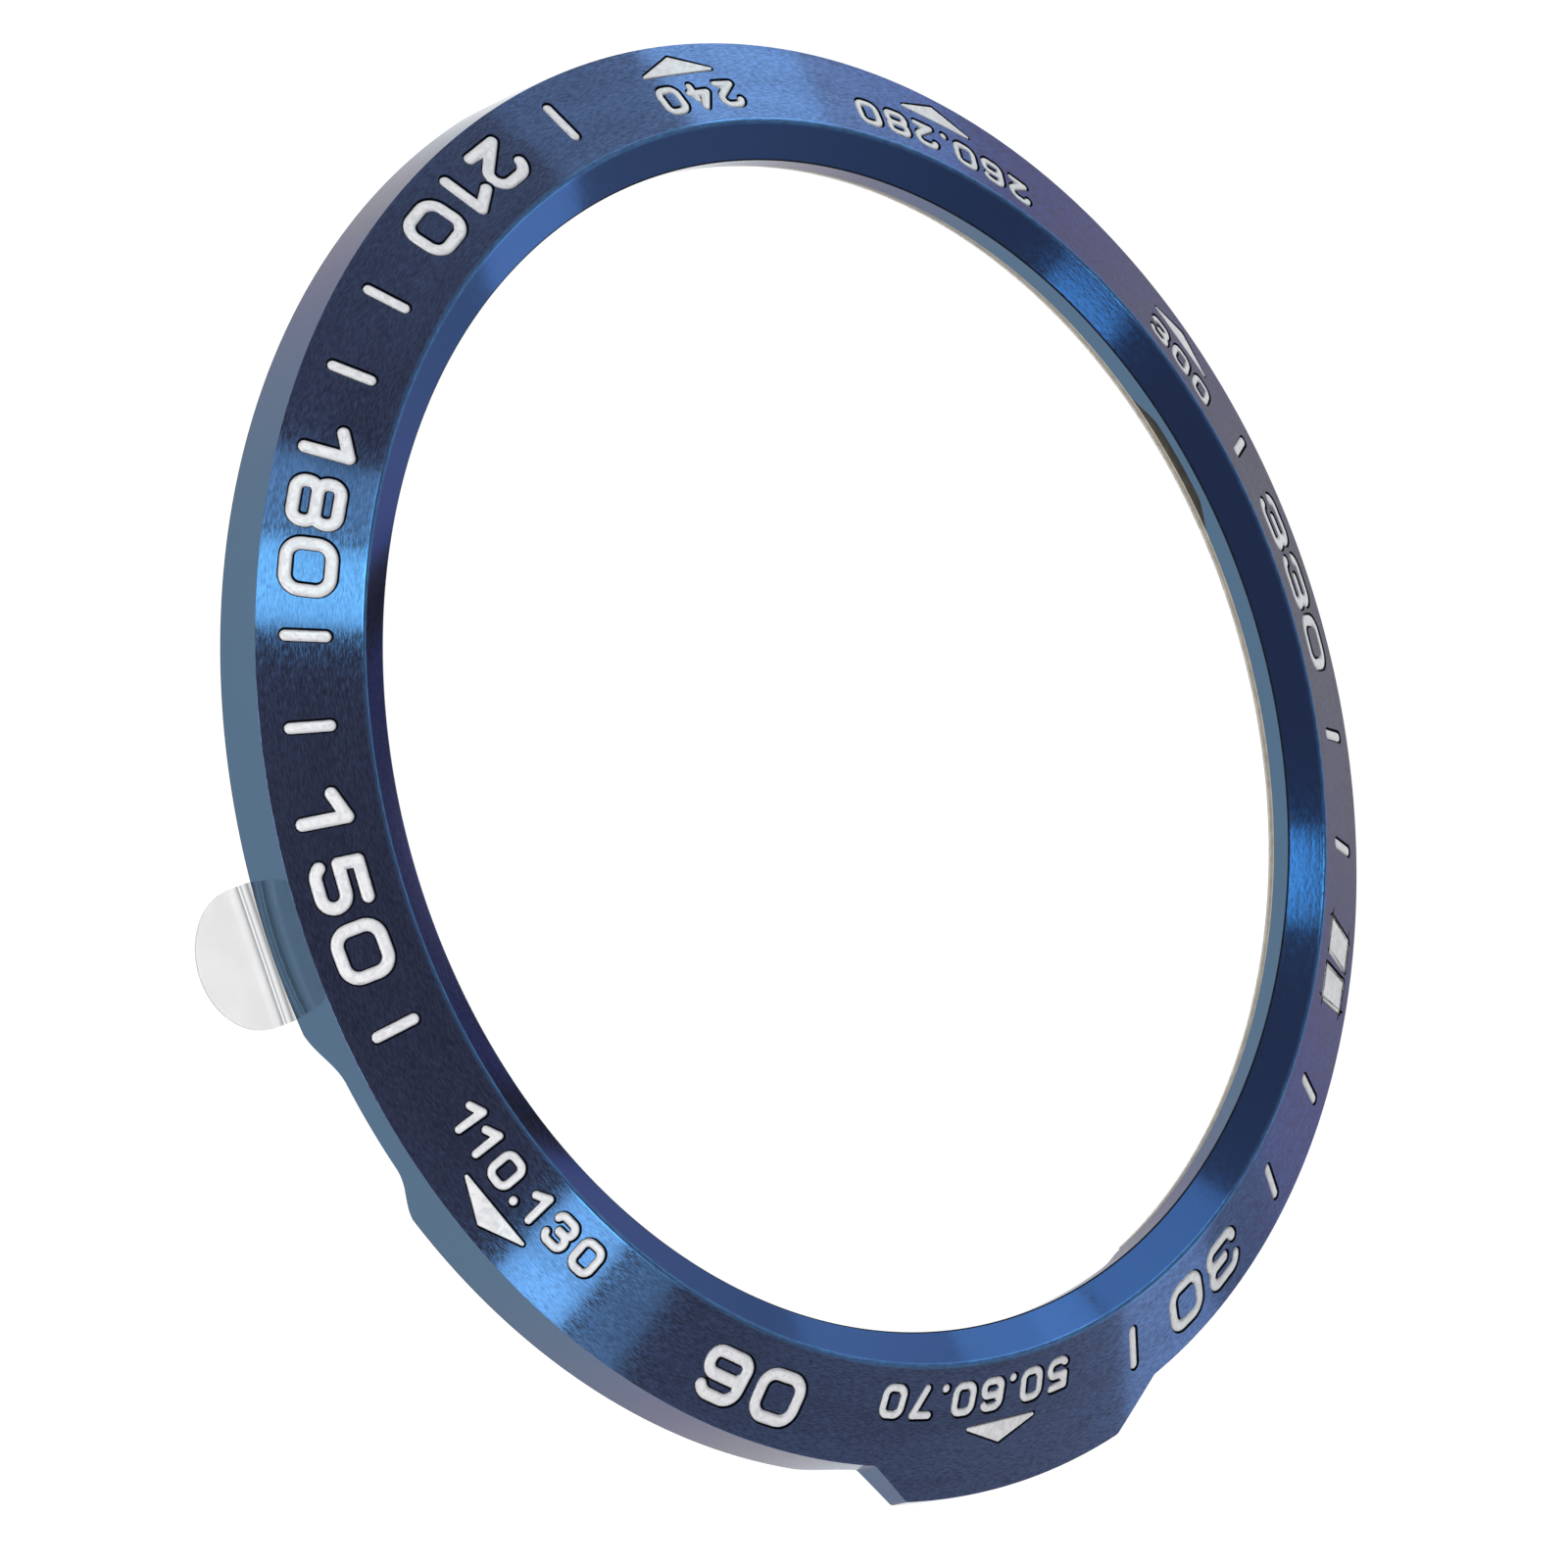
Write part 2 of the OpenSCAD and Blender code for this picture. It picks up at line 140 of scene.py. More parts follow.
class FilmSizes(bpy.types.PropertyGroup):
    """Sizes of the tape, the liner and the pull tab."""

    adhesive_t: length("Adhesive", "Thickness of an adhesive layer", 0.07)
    carrier_t: length("Carrier", "Thickness of the carrier film", 0.065)
    liner_t: length("Liner", "Thickness of the liner's film", 0.05)
    gap: length("Layer gap", "Clearance between two layers", 0.01)
    set_back: length("Set-back", "Distance of the tape's edge from the window's wall", 0.05)
    outer_r: length("Tape radius", "Outer radius of the tape", 24.5)
    notch_depth: length("Notch depth", "Depth of the cuts in the tape's inner edge", 1.9)
    tab_w: length("Tab width", "Width of the pull tab", 4.9)
    tab_reach: length("Tab reach", "Reach of the tab beyond the outer wall", 3.2)
    crease_out: length("Crease", "Distance of the crease from the outer wall", 0.36)
    crease_gap: length("Crease gap", "Clearance on each side of the crease", 0.05)
    tab_bearing: angle("Tab bearing", "Bearing of the pull tab", 144.45)


class Finishes(bpy.types.PropertyGroup):
    """Colours of the finishes, with the painted highlight on the crest and the painted shade in the
    engraved step.
    """

    anodised: colour("Anodised blue", "The dye on the dial face", "#576fa0")
    anodised_deep: colour("Deep blue", "The dye on the face where the oxide is thicker", "#394a70")
    bevel: colour("Bevel blue", "The dye on the bevel inside the crest", "#305692")
    wall: colour("Wall blue", "The dye on the turned walls", "#2b5676")
    graze: colour("Grazing blue", "The dye of the dial face at a low angle", "#34486c")
    wall_graze: colour("Grazing wall blue", "The dye of the turned walls at a low angle", "#4d7494")
    # Painted highlight: a paler blue laid in patches along the crest, for the glint of its edge
    crest_highlight: colour("Glinting crest blue", "The dye where the crest is rubbed", "#62a8ee")
    # Painted shade: the step round the enamel is coloured near black for the shadow that lies in it
    engraved: colour("Engraving", "The dark step round the enamel", "#080d1a")
    enamel: colour("Enamel", "The white fill", "#f2f3f7")
    adhesive: colour("Adhesive", "The tape's adhesive", "#a8a194")
    carrier: colour("Carrier", "The tape's film", "#8f897e")
    liner: colour("Liner", "The liner and its tab", "#ffffff")
    floor: colour("Floor", "The lit table under the ring", "#6e6e6e")


def settings():
    """The four property groups."""
    scene = bpy.context.scene
    return scene.ring_sizes, scene.dial_sizes, scene.film_sizes, scene.ring_finishes


# The ring's surfaces as functions of the radius


def face_fall(s):
    """Fall of the dial face for each unit of radius."""
    return (s.crest_h - s.wall_h) / (s.outer_r - s.crest_r)


def face_z(s, r):
    """Height of the dial face at a radius."""
    return s.rim_z + s.crest_h - face_fall(s) * (r - s.crest_r)


def bevel_rise(s):
    """Rise of the bevel for each unit of radius."""
    return (s.crest_h - s.lip_top_h) / (s.crest_r - s.window_r)


def under_fall(s):
    """Fall of the flange's underside for each unit of radius."""
    return (s.lip_low_h - s.root_h) / (s.skirt_r - s.window_r)


def under_z(s, r):
    """Height of the flange's underside at a radius."""
    return s.rim_z + s.lip_low_h - under_fall(s) * (r - s.window_r)


def slot_z(s, r):
    """Height of a slot's roof at a radius."""
    return s.rim_z + s.slot_h - math.tan(s.slot_tilt) * (r - s.outer_r)


def smooth(u):
    """Eases from 0 to 1 as u goes from 0 to 1."""
    u = min(max(u, 0.0), 1.0)
    return (1 - math.cos(math.pi * u)) / 2


def bearing_of(co):
    """Compass bearing of a point, in degrees, clockwise from the index mark."""
    return math.degrees(math.atan2(co.x, co.y)) % 360


def on_bearing(bearing, r, z=0.0):
    """The point at a bearing in degrees, a radius and a height."""
    b = math.radians(bearing)
    return Vector((r * math.sin(b), r * math.cos(b), z))


# Bearings of what is round the dial, in degrees
GUARD_ROOTS = (42.7, 74.7)
GUARD_TIPS = (47.6, 70.6)
GUARD_SLOT = (40.0, 44.45, 75.05, 79.5)
SLOTS = ((120.4, 125.5, 133.1, 138.2), (221.8, 226.9, 234.5, 239.6), (300.4, 305.5, 313.1, 318.2))
TICKS = (11.7, 21.7, 45.2, 135.5, 160.8, 168.3, 191.8, 199.6, 226.2, 311.9, 338.8, 348.8)
ARROWS = (61.8, 118.5, 241.0, 269.7, 301.4)
INDEX = 359.75
# Node of each large numeral: its bearing, its text, whether its top is towards the window, the share of
# a figure's width that a one takes, and how much wider than usual its figures are
NUMERALS = {
    "numeral_30": (34.3, "30", False, 0.66, 1.1),
    "numeral_90": (89.6, "90", True, 0.66, 1.06),
    "numeral_150": (147.7, "150", True, 0.9, 1.03),
    "numeral_180": (178.9, "180", True, 0.66, 1.0),
    "numeral_210": (213.1, "210", True, 0.66, 1.0),
    "numeral_330": (324.8, "330", False, 0.66, 1.0),
}
# The same share in the small numerals
SMALL_ONE_SHARE = 0.7
# Small numerals beside the arrows: bearing, text, top towards the window, radius in mm
SMALL_NUMERALS = (
    (64.9, "50.60.70", False, 23.42),
    (117.6, "110.130", True, 23.4),
    (241.7, "240", True, 23.4),
    (270.2, "260.280", True, 23.4),
    (302.0, "300", False, 23.4),
)


# Mesh helpers


def piece(name, mesh, materials):
    """A mesh as an object at the origin with its materials."""
    obj = bpy.data.objects.new(name, mesh)
    bpy.context.scene.collection.objects.link(obj)
    for material in materials:
        obj.data.materials.append(material)
    return obj


def finish_mesh(name, bm, soft=False):
    """Closes a bmesh into a mesh, with its faces turned outwards; soft shades it smooth."""
    bmesh.ops.remove_doubles(bm, verts=bm.verts, dist=SAME_POINT)
    bmesh.ops.recalc_face_normals(bm, faces=bm.faces)
    for face in bm.faces:
        face.smooth = soft
    mesh = bpy.data.meshes.new(name)
    bm.to_mesh(mesh)
    bm.free()
    return mesh


def closed_loop(bm, points):
    """New vertices and edges round a closed outline."""
    verts = [bm.verts.new(p) for p in points]
    return verts, [bm.edges.new(pair) for pair in zip(verts, verts[1:] + verts[:1])]


def extruded(bm):
    """Extrudes every face, and gives the new vertices."""
    grown = bmesh.ops.extrude_face_region(bm, geom=bm.faces[:])
    return [v for v in grown["geom"] if isinstance(v, bmesh.types.BMVert)]


def spun(section, steps):
    """A bmesh turned round the ring's axis from a section of radii and heights."""
    bm = bmesh.new()
    verts, edges = closed_loop(bm, [(0, r, z) for r, z in section])
    bmesh.ops.spin(
        bm, geom=verts + edges, cent=(0, 0, 0), axis=(0, 0, 1), angle=math.tau, steps=steps,
        use_merge=True,
    )
    return bm


def boolean(obj, cutter, operation):
    """Applies a boolean and deletes the cutter."""
    modifier = obj.modifiers.new(operation, "BOOLEAN")
    modifier.operation = operation
    modifier.object = cutter
    modifier.solver = "MANIFOLD"
    modifier.material_mode = "INDEX"
    mesh = bpy.data.meshes.new_from_object(obj.evaluated_get(bpy.context.evaluated_depsgraph_get()))
    obj.modifiers.clear()
    old = obj.data
    obj.data = mesh
    bpy.data.meshes.remove(old)
    bpy.data.objects.remove(cutter)


def joined(name, meshes, materials):
    """One object made of several placed meshes, which are deleted."""
    bm = bmesh.new()
    for mesh in meshes:
        bm.from_mesh(mesh)
        bpy.data.meshes.remove(mesh)
    mesh = bpy.data.meshes.new(name)
    bm.to_mesh(mesh)
    bm.free()
    return piece(name, mesh, materials)


def settle(obj, body, slot, *nodes):
    """Lets a piece ride on its body and hides the nodes that it stands for; slot is not used."""
    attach(obj, body)
    if nodes:
        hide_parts(*nodes)


# Flat shapes of the marks, in metres, centred, with y towards the top


def arc(x, y, r, start, end, steps=CORNER_STEPS):
    """Points along an arc, angles in degrees."""
    turns = [math.radians(start + (end - start) * i / steps) for i in range(steps + 1)]
    return [Vector((x + r * math.cos(t), y + r * math.sin(t))) for t in turns]


def rounded_box(a, b, r):
    """Outline of a box with half sizes a and b and rounded corners."""
    corners = ((a - r, b - r, 0), (r - a, b - r, 90), (r - a, r - b, 180), (a - r, r - b, 270))
    return [p for x, y, t in corners for p in arc(x, y, r, t, t + 90)]


def stroke_outline(path, w):
    """Outline of a stroke of width w with round ends along a path."""
    left, right = [], []
    for i, p in enumerate(path):
        back = (p - path[i - 1]).normalized() if i else (path[1] - p).normalized()
        ahead = (path[i + 1] - p).normalized() if i + 1 < len(path) else back
        mean = back + ahead
        normal = Vector((-mean.y, mean.x)) / mean.length_squared
        left.append(p + normal * w)
        right.append(p - normal * w)
    ends = []
    for p, d in ((path[-1], path[-1] - path[-2]), (path[0], path[0] - path[1])):
        t = math.degrees(math.atan2(d.y, d.x))
        ends.append(arc(p.x, p.y, w / 2, t + 90, t - 90, 2 * CORNER_STEPS)[1:-1])
    return left + ends[0] + right[::-1] + ends[1]


def prism(outlines, low, high):
    """A closed solid between two heights; a second outline is its hole."""
    bm = bmesh.new()
    loops = [closed_loop(bm, [(p.x, p.y, low) for p in outline])[1] for outline in outlines]
    if len(loops) == 1:
        bmesh.ops.contextual_create(bm, geom=loops[0])
    else:
        bmesh.ops.bridge_loops(bm, edges=loops[0] + loops[1])
    bmesh.ops.translate(bm, verts=extruded(bm), vec=(0, 0, high - low))
    return finish_mesh("prism", bm)


def vectors(*points):
    """Points of a path as vectors."""
    return [Vector(p) for p in points]


def digit_strokes(digit, a, h, r):
    """Centre lines of a digit in a box with half sizes a and h: closed boxes and open paths."""
    one = a * 0.16
    waist = h * 0.02
    belly = h * 0.12
    round_a = (h - waist) / 2
    round_b = (belly + h) / 2
    hook = arc(r - a, r - h, r, -90, -145)
    steps = 2 * CORNER_STEPS
    three = [
        arc(r * 0.8 - a, h - r * 0.8, r * 0.8, 170, 90)
        + arc(a - round_a, h - round_a, round_a, 90, -90, steps)
        + vectors((-a * 0.15, waist))
    ]
    three.append([Vector((p.x, -p.y)) for p in three[0]])
    tail = vectors((a, h * 0.3)) + arc(a - r, r - h, r, 0, -90) + hook
    shapes = {
        "0": [(0, 0, a, h)],
        "1": [vectors((one, -h), (one, h)), vectors((one, h), (one - a * 1.12, h * 0.5))],
        "2": [
            arc(r - a, h - r, r, 170, 90) + arc(a - r, h - r, r, 90, -40, steps)
            + vectors((-a * 0.8, -h)),
            vectors((-a * 0.8, -h), (a * 0.95, -h)),
        ],
        "3": three,
        "4": [
            vectors((a * 0.15, h), (-a, -h * 0.35)),
            vectors((-a, -h * 0.35), (a, -h * 0.35)),
            vectors((a * 0.5, h * 0.25), (a * 0.5, -h)),
        ],
        "5": [
            vectors((a * 0.85, h), (-a * 0.8, h)),
            vectors((-a * 0.8, h), (-a * 0.86, belly)),
            vectors((-a * 0.86, belly))
            + arc(a - round_b, belly - round_b, round_b, 90, -90, steps) + hook,
        ],
        "6": [(0, -h * 0.47, a, h * 0.53), [-p for p in tail]],
        "7": [vectors((-a * 0.9, h), (a * 0.9, h)), vectors((a * 0.9, h), (-a * 0.2, -h))],
        "8": [(0, h / 2, a, h / 2), (0, -h / 2, a, h / 2)],
        "9": [(0, h * 0.47, a, h * 0.53), tail],
    }
    return shapes[digit]


def digit_solids(digit, w, h, stroke, grow):
    """Prisms' outlines of a digit's strokes, each wider by grow on every side."""
    a = (w - stroke) / 2
    b = (h - stroke) / 2
    corner = min(0.25 * w, a)
    wide = stroke / 2 + grow
    outlines = []
    if digit == ".":
        return [[arc(0, -b + stroke * 0.1, wide * 1.1, 0, 360, 4 * CORNER_STEPS)[:-1]]]
    for part in digit_strokes(digit, a, b, corner):
        if isinstance(part, tuple):
            x, y, ha, hb = part
            r = min(corner, ha, hb * 0.9)
            outer = rounded_box(ha + wide, hb + wide, r + wide)
            inner = rounded_box(ha - wide, hb - wide, max(r - wide, 0.02 * w))
            outlines.append([[p + Vector((x, y)) for p in ring] for ring in (outer, inner)])
        else:
            outlines.append([stroke_outline(part, 2 * wide)])
    return outlines


def united(name, outlines, low, high):
    """The union of the prisms of several outlines, as one mesh."""
    obj = piece(name, prism(outlines[0], low, high), [])
    for outline in outlines[1:]:
        boolean(obj, piece("stroke", prism(outline, low, high), []), "UNION")
    mesh = obj.data.copy()
    bpy.data.objects.remove(obj)
    return mesh


# The enamel's round edge: how far each step goes in, as a share of the half stroke, and up, in millimetres
ENAMEL_STEPS = ((0.08, 0.03), (0.13, 0.022), (0.19, 0.013), (0.22, 0.004))


def pillowed(mesh, half):
    """Rounds the upper edge of a flat fill, as enamel does when it is fired.

    The layer rim falls from 1 at the fill's side to 0 on its flat top, for the material's painted
    highlight and shade.
    """
    bm = bmesh.new()
    bm.from_mesh(mesh)
    bmesh.ops.remove_doubles(bm, verts=bm.verts, dist=SAME_HEIGHT)
    bmesh.ops.dissolve_limit(bm, angle_limit=math.radians(0.5), verts=bm.verts, edges=bm.edges)
    top = max(v.co.z for v in bm.verts)
    rise = sum(step[1] for step in ENAMEL_STEPS) * MM
    for v in bm.verts:
        if v.co.z > top - SAME_HEIGHT:
            v.co.z -= rise
    bm.normal_update()
    faces = [f for f in bm.faces if f.normal.z > 0.9]
    rim = bm.verts.layers.float.new("rim")
    for v in bm.verts:
        v[rim] = 1.0
    for i, (inwards, up) in enumerate(ENAMEL_STEPS):
        bmesh.ops.inset_region(
            bm, faces=faces, thickness=inwards * half, depth=up * MM, use_even_offset=True,
        )
        for v in {v for f in faces for v in f.verts}:
            v[rim] = 1.0 - (i + 1) / len(ENAMEL_STEPS)
    for f in bm.faces:
        f.smooth = True
    bm.to_mesh(mesh)
    bm.free()
    return mesh


def seated(mesh, s, bearing, r, tops_in):
    """A copy of a flat mesh laid on the dial face."""
    tilt = math.atan(face_fall(s))
    place = (
        Matrix.Rotation(-math.radians(bearing), 4, "Z")
        @ Matrix.Translation((0, r, face_z(s, r)))
        @ Matrix.Rotation(-tilt, 4, "X")
        @ Matrix.Rotation(math.pi if tops_in else 0.0, 4, "Z")
    )
    copy = mesh.copy()
    copy.transform(place)
    return copy


def text_places(text, w, gap, one_share):
    """Each character with the distance of its middle from the middle of the text."""
    widths = [{"1": w * one_share, ".": w * 0.3}.get(c, w) for c in text]
    start = -(sum(widths) + gap * (len(text) - 1)) / 2
    places = []
    for c, width in zip(text, widths):
        places.append((c, start + width / 2))
        start += width + gap
    return places


# Clearance of a fill from the floor of its pocket, and how far a pocket's cutter rises over the face
FILL_GAP = 0.01 * MM
POCKET_TOP = 0.4 * MM


class Marks:
    """Makes the fills and the pockets of the dial's marks, each shape once."""

    def __init__(self, ring, dial):
        self.s = ring
        self.d = dial
        self.shapes = {}
        self.fills = {}
        self.pockets = []

    def shape(self, key, outlines_for, half):
        """The fill and the pocket of one shape, kept for later copies."""
        if key not in self.shapes:
            d = self.d
            fill = united("fill", outlines_for(0.0), -d.pocket_depth + FILL_GAP, -d.enamel_low)
            pocket = united("pocket", outlines_for(d.outline), -d.pocket_depth, POCKET_TOP)
            self.shapes[key] = (pillowed(fill, half), pocket)
        return self.shapes[key]

    def place(self, group, key, outlines_for, half, bearing, r, tops_in=False):
        """Puts one shape on the dial face, for a group of fills.

        Half is half the width of its strokes.
        """
        fill, pocket = self.shape(key, outlines_for, half)
        self.fills.setdefault(group, []).append(seated(fill, self.s, bearing, r, tops_in))
        self.pockets.append(seated(pocket, self.s, bearing, r, tops_in))

    def text(self, group, text, bearing, r, tops_in, w, h, stroke, gap, one_share):
        """Puts a number on the dial face, each digit on its own bearing."""
        turn = -1 if tops_in else 1
        for c, x in text_places(text, w, gap, one_share):
            self.place(
                group, (c, h),
                lambda grow, c=c: digit_solids(c, w, h, stroke, grow), stroke / 2,
                bearing + turn * math.degrees(x / r), r, tops_in,
            )


def bar(long, w):
    """Outlines of a tick, for any growth."""
    reach = (long - w) / 2
    return lambda grow: [[stroke_outline(vectors((0, -reach), (0, reach)), w + 2 * grow)]]


def rounded(points, r):
    """An outline whose corners are arcs of radius r."""
    outline = []
    for i, p in enumerate(points):
        back = (points[i - 1] - p).normalized()
        ahead = (points[(i + 1) % len(points)] - p).normalized()
        half = back.angle(ahead) / 2
        middle = p + (back + ahead).normalized() * r / math.sin(half)
        away = p - middle
        turn = math.degrees(math.pi / 2 - half)
        start = math.degrees(math.atan2(away.y, away.x))
        outline += arc(middle.x, middle.y, r, start - turn, start + turn)
    return outline


def arrow(d):
    """Outlines of an arrow that points outwards, for any growth."""
    w, long = d.arrow_w, d.arrow_len
    base = math.atan(long / (w / 2))

    def outlines(grow):
        corner = w / 2 + grow / math.tan(base / 2)
        tip = long / 2 + grow / math.cos(base)
        points = vectors((-corner, -long / 2 - grow), (corner, -long / 2 - grow), (0, tip))
        return [[rounded(points, d.corner_r + grow)]]

    return outlines


def index_block(d, side):
    """Outlines of one half of the double index mark, for any growth."""
    half = d.index_len / 2

    def outlines(grow):
        points = vectors(
            (d.index_foot_gap / 2 - grow, -half - grow), (d.index_foot_w / 2 + grow, -half - grow),
            (d.index_head_w / 2 + grow, half + grow), (d.index_head_gap / 2 - grow, half + grow),
        )
        outline = rounded(points, d.corner_r + grow)
        return [[[Vector((side * p.x, p.y)) for p in outline]]]

    return outlines


def lay_out_marks(ring, dial):
    """Every mark of the dial."""
    marks = Marks(ring, dial)
    r = dial.mark_r
    tick_half = dial.tick_w / 2
    for side in (-1, 1):
        marks.place("index_enamel", ("index", side), index_block(dial, side), tick_half, INDEX, r)
    for b in TICKS:
        marks.place("tick_enamel", "tick", bar(dial.tick_len, dial.tick_w), tick_half, b, r)
    for b in ARROWS:
        marks.place("arrow_enamel", "arrow", arrow(dial), dial.corner_r, b, dial.arrow_r)
    for name, (b, text, tops_in, one_share, wider) in NUMERALS.items():
        marks.text(
            name, text, b, r, tops_in, dial.numeral_w * wider, dial.numeral_h, dial.stroke_w,
            dial.numeral_gap, one_share,
        )
    for b, text, tops_in, r_mm in SMALL_NUMERALS:
        marks.text(
            "small_" + text.replace(".", "_"), text, b, r_mm * MM, tops_in,
            dial.small_w, dial.small_h, dial.small_stroke, dial.small_gap, SMALL_ONE_SHARE,
        )
    return marks


# Materials


def add_node(tree, kind, values=(), links=(), stops=(), **attributes):
    """Adds a shader node with its settings, input values, links and colour stops."""
    node = tree.nodes.new(kind)
    for name, value in attributes.items():
        setattr(node, name, value)
    for name, value in dict(values).items():
        node.inputs[name].default_value = value
    for name, source in dict(links).items():
        tree.links.new(source, node.inputs[name])
    if stops:
        elements = node.color_ramp.elements
        while len(elements) < len(stops):
            elements.new(0.5)
        for element, (position, tone) in zip(elements, stops):
            element.position = position
            element.color = tone
    return node


def new_material(name, inputs):
    """A node material whose surface shader has the given inputs."""
    material = bpy.data.materials.new(name)
    material.use_nodes = True
    tree = material.node_tree
    surface = tree.nodes["Principled BSDF"]
    for key, value in inputs.items():
        surface.inputs[key].default_value = value
    return material, tree, surface


def raised(tree, surface, height, strength, depth):
    """Lets a pattern stand up from a surface by a depth in metres."""
    bump = add_node(tree, "ShaderNodeBump", {"Strength": strength, "Distance": depth}, {"Height": height})
    tree.links.new(bump.outputs["Normal"], surface.inputs["Normal"])


def ring_place(tree):
    """Object coordinates as the flat point, the radius and the height."""
    point = add_node(tree, "ShaderNodeTexCoord").outputs["Object"]
    flat = add_node(tree, "ShaderNodeVectorMath", {1: (1, 1, 0)}, {0: point}, operation="MULTIPLY")
    radius = add_node(tree, "ShaderNodeVectorMath", links={0: flat.outputs[0]}, operation="LENGTH")
    split = add_node(tree, "ShaderNodeSeparateXYZ", links={"Vector": point})
    return flat.outputs[0], radius.outputs["Value"], split.outputs["Z"]


def ring_grain(tree, place, along_mm, across_mm, detail=2.0):
    """Noise stretched round the ring: its cells are along_mm long and across_mm wide."""
    flat, radius, height = place
    fall = add_node(tree, "ShaderNodeMath", links={0: radius, 1: height}, operation="SUBTRACT")
    across = add_node(
        tree, "ShaderNodeMath", {1: 1 / (across_mm * MM)}, {0: fall.outputs[0]}, operation="MULTIPLY",
    )
    lift = add_node(tree, "ShaderNodeCombineXYZ", links={"Z": across.outputs[0]})
    stretched = add_node(
        tree, "ShaderNodeVectorMath", {1: [1 / (along_mm * MM)] * 3}, {0: flat, 2: lift.outputs[0]},
        operation="MULTIPLY_ADD",
    )
    return add_node(
        tree, "ShaderNodeTexNoise", {"Scale": 1.0, "Detail": detail, "Roughness": 0.6},
        {"Vector": stretched.outputs[0]},
    ).outputs["Fac"]


def band(tree, value, middle, half):
    """1 where a value is at the middle, falling to 0 at half away from it."""
    away = add_node(tree, "ShaderNodeMath", {1: middle}, {0: value}, operation="SUBTRACT")
    size = add_node(tree, "ShaderNodeMath", links={0: away.outputs[0]}, operation="ABSOLUTE")
    return add_node(
        tree, "ShaderNodeMapRange", {"From Min": 0.0, "From Max": half, "To Min": 1.0, "To Max": 0.0},
        {"Value": size.outputs[0]},
    ).outputs["Result"]


def tinted(tree, tone, *tints):
    """Lays colours over a tone, each by its share."""
    for share, tint in tints:
        tone = add_node(
            tree, "ShaderNodeMix", {"B": tint}, {"Factor": share, "A": tone}, data_type="RGBA",
        ).outputs["Result"]
    return tone


def blue_oxide(name, dyes, graze, grain_mm, coat, anisotropy, relief, rough):
    """Blue anodised aluminium with its grain: short dashes round the ring, under the clear oxide.

    Relief is the grain's height in micrometres, and rough is the roughness on its dull grains.
    Gives the material, its tree, its surface, the place on the ring and the tone of the dye.
    """
    material, tree, surface = new_material(name, {
        "Metallic": 1.0, "Anisotropic": anisotropy, "Specular Tint": graze,
        "Coat Weight": coat, "Coat IOR": 1.6, "Coat Roughness": 0.1,
    })
    place = ring_place(tree)
    along, across = grain_mm
    grain = ring_grain(tree, place, along, across)
    long_grain = ring_grain(tree, place, 10 * along, 1.2 * across)
    cloud = ring_grain(tree, place, 9.0, 1.5)
    mixed = add_node(tree, "ShaderNodeMix", {"Factor": 0.2}, {"A": grain, "B": cloud}, data_type="FLOAT")
    tone = add_node(
        tree, "ShaderNodeValToRGB", links={"Fac": mixed.outputs["Result"]},
        stops=((0.38, dyes[0]), (0.62, dyes[1])),
    ).outputs["Color"]
    tree.links.new(tone, surface.inputs["Base Color"])
    dull = add_node(
        tree, "ShaderNodeMapRange", {"From Min": 0.35, "From Max": 0.65, "To Min": 0.04, "To Max": rough},
        {"Value": grain},
    )
    tree.links.new(dull.outputs["Result"], surface.inputs["Roughness"])
    height = add_node(
        tree, "ShaderNodeMix", {"Factor": 0.35}, {"A": grain, "B": long_grain}, data_type="FLOAT",
    )
    raised(tree, surface, height.outputs["Result"], 1.0, relief * 0.001 * MM)
    tangent = add_node(tree, "ShaderNodeTangent", direction_type="RADIAL", axis="Z")
    tree.links.new(tangent.outputs["Tangent"], surface.inputs["Tangent"])
    return material, tree, surface, place, tone


def brushed_face(f, sizes):
    """The dial face and the bevel: brushed round the ring, then anodised.

    The grain spreads a light into a fan that glitters. The crest carries a painted highlight: paler blue
    in patches along it, for the glint of its edge.
    """
    material, tree, surface, place, tone = blue_oxide(
        "brushed_anodised_aluminium", (f.anodised_deep, f.anodised), f.graze, (0.26, 0.055),
        coat=0.5, anisotropy=0.8, relief=0.75, rough=0.1,
    )
    inside = add_node(
        tree, "ShaderNodeMapRange", {"From Min": sizes.crest_r, "From Max": sizes.crest_r - 0.02 * MM},
        {"Value": place[1]},
    )
    patches = add_node(
        tree, "ShaderNodeMapRange", {"From Min": 0.4, "From Max": 0.6, "To Min": 0.55},
        {"Value": ring_grain(tree, place, 0.4, 0.1, 3.0)},
    )
    # A painted highlight along the crest, in patches: the paler blue stands in for the glint of its edge
    crest = band(tree, place[1], sizes.crest_r, 0.13 * MM)
    glinting = add_node(
        tree, "ShaderNodeMath", links={0: crest, 1: patches.outputs["Result"]}, operation="MULTIPLY",
    )
    tone = tinted(tree, tone, (inside.outputs["Result"], f.bevel), (glinting.outputs[0], f.crest_highlight))
    tree.links.new(tone, surface.inputs["Base Color"])
    return material


def turned_wall(f):
    """The walls and the underside: turned smooth, then anodised, so the oxide is glossier there."""
    return blue_oxide(
        "turned_anodised_aluminium", (f.wall, f.wall), f.wall_graze, (0.6, 0.04),
        coat=1.0, anisotropy=0.6, relief=0.8, rough=0.15,
    )[0]


def speckled(name, per_mm, stops, inputs, detail=3.0, distortion=0.0):
    """A material whose colour follows fine noise with per_mm cells to a millimetre.

    Gives the material, its tree, its surface, the noise and the tone.
    """
    material, tree, surface = new_material(name, inputs)
    point = add_node(tree, "ShaderNodeTexCoord").outputs["Object"]
    speck = add_node(
        tree, "ShaderNodeTexNoise",
        {"Scale": per_mm / MM, "Detail": detail, "Distortion": distortion}, {"Vector": point},
    ).outputs["Fac"]
    tone = add_node(tree, "ShaderNodeValToRGB", links={"Fac": speck}, stops=stops).outputs["Color"]
    tree.links.new(tone, surface.inputs["Base Color"])
    return material, tree, surface, speck, tone


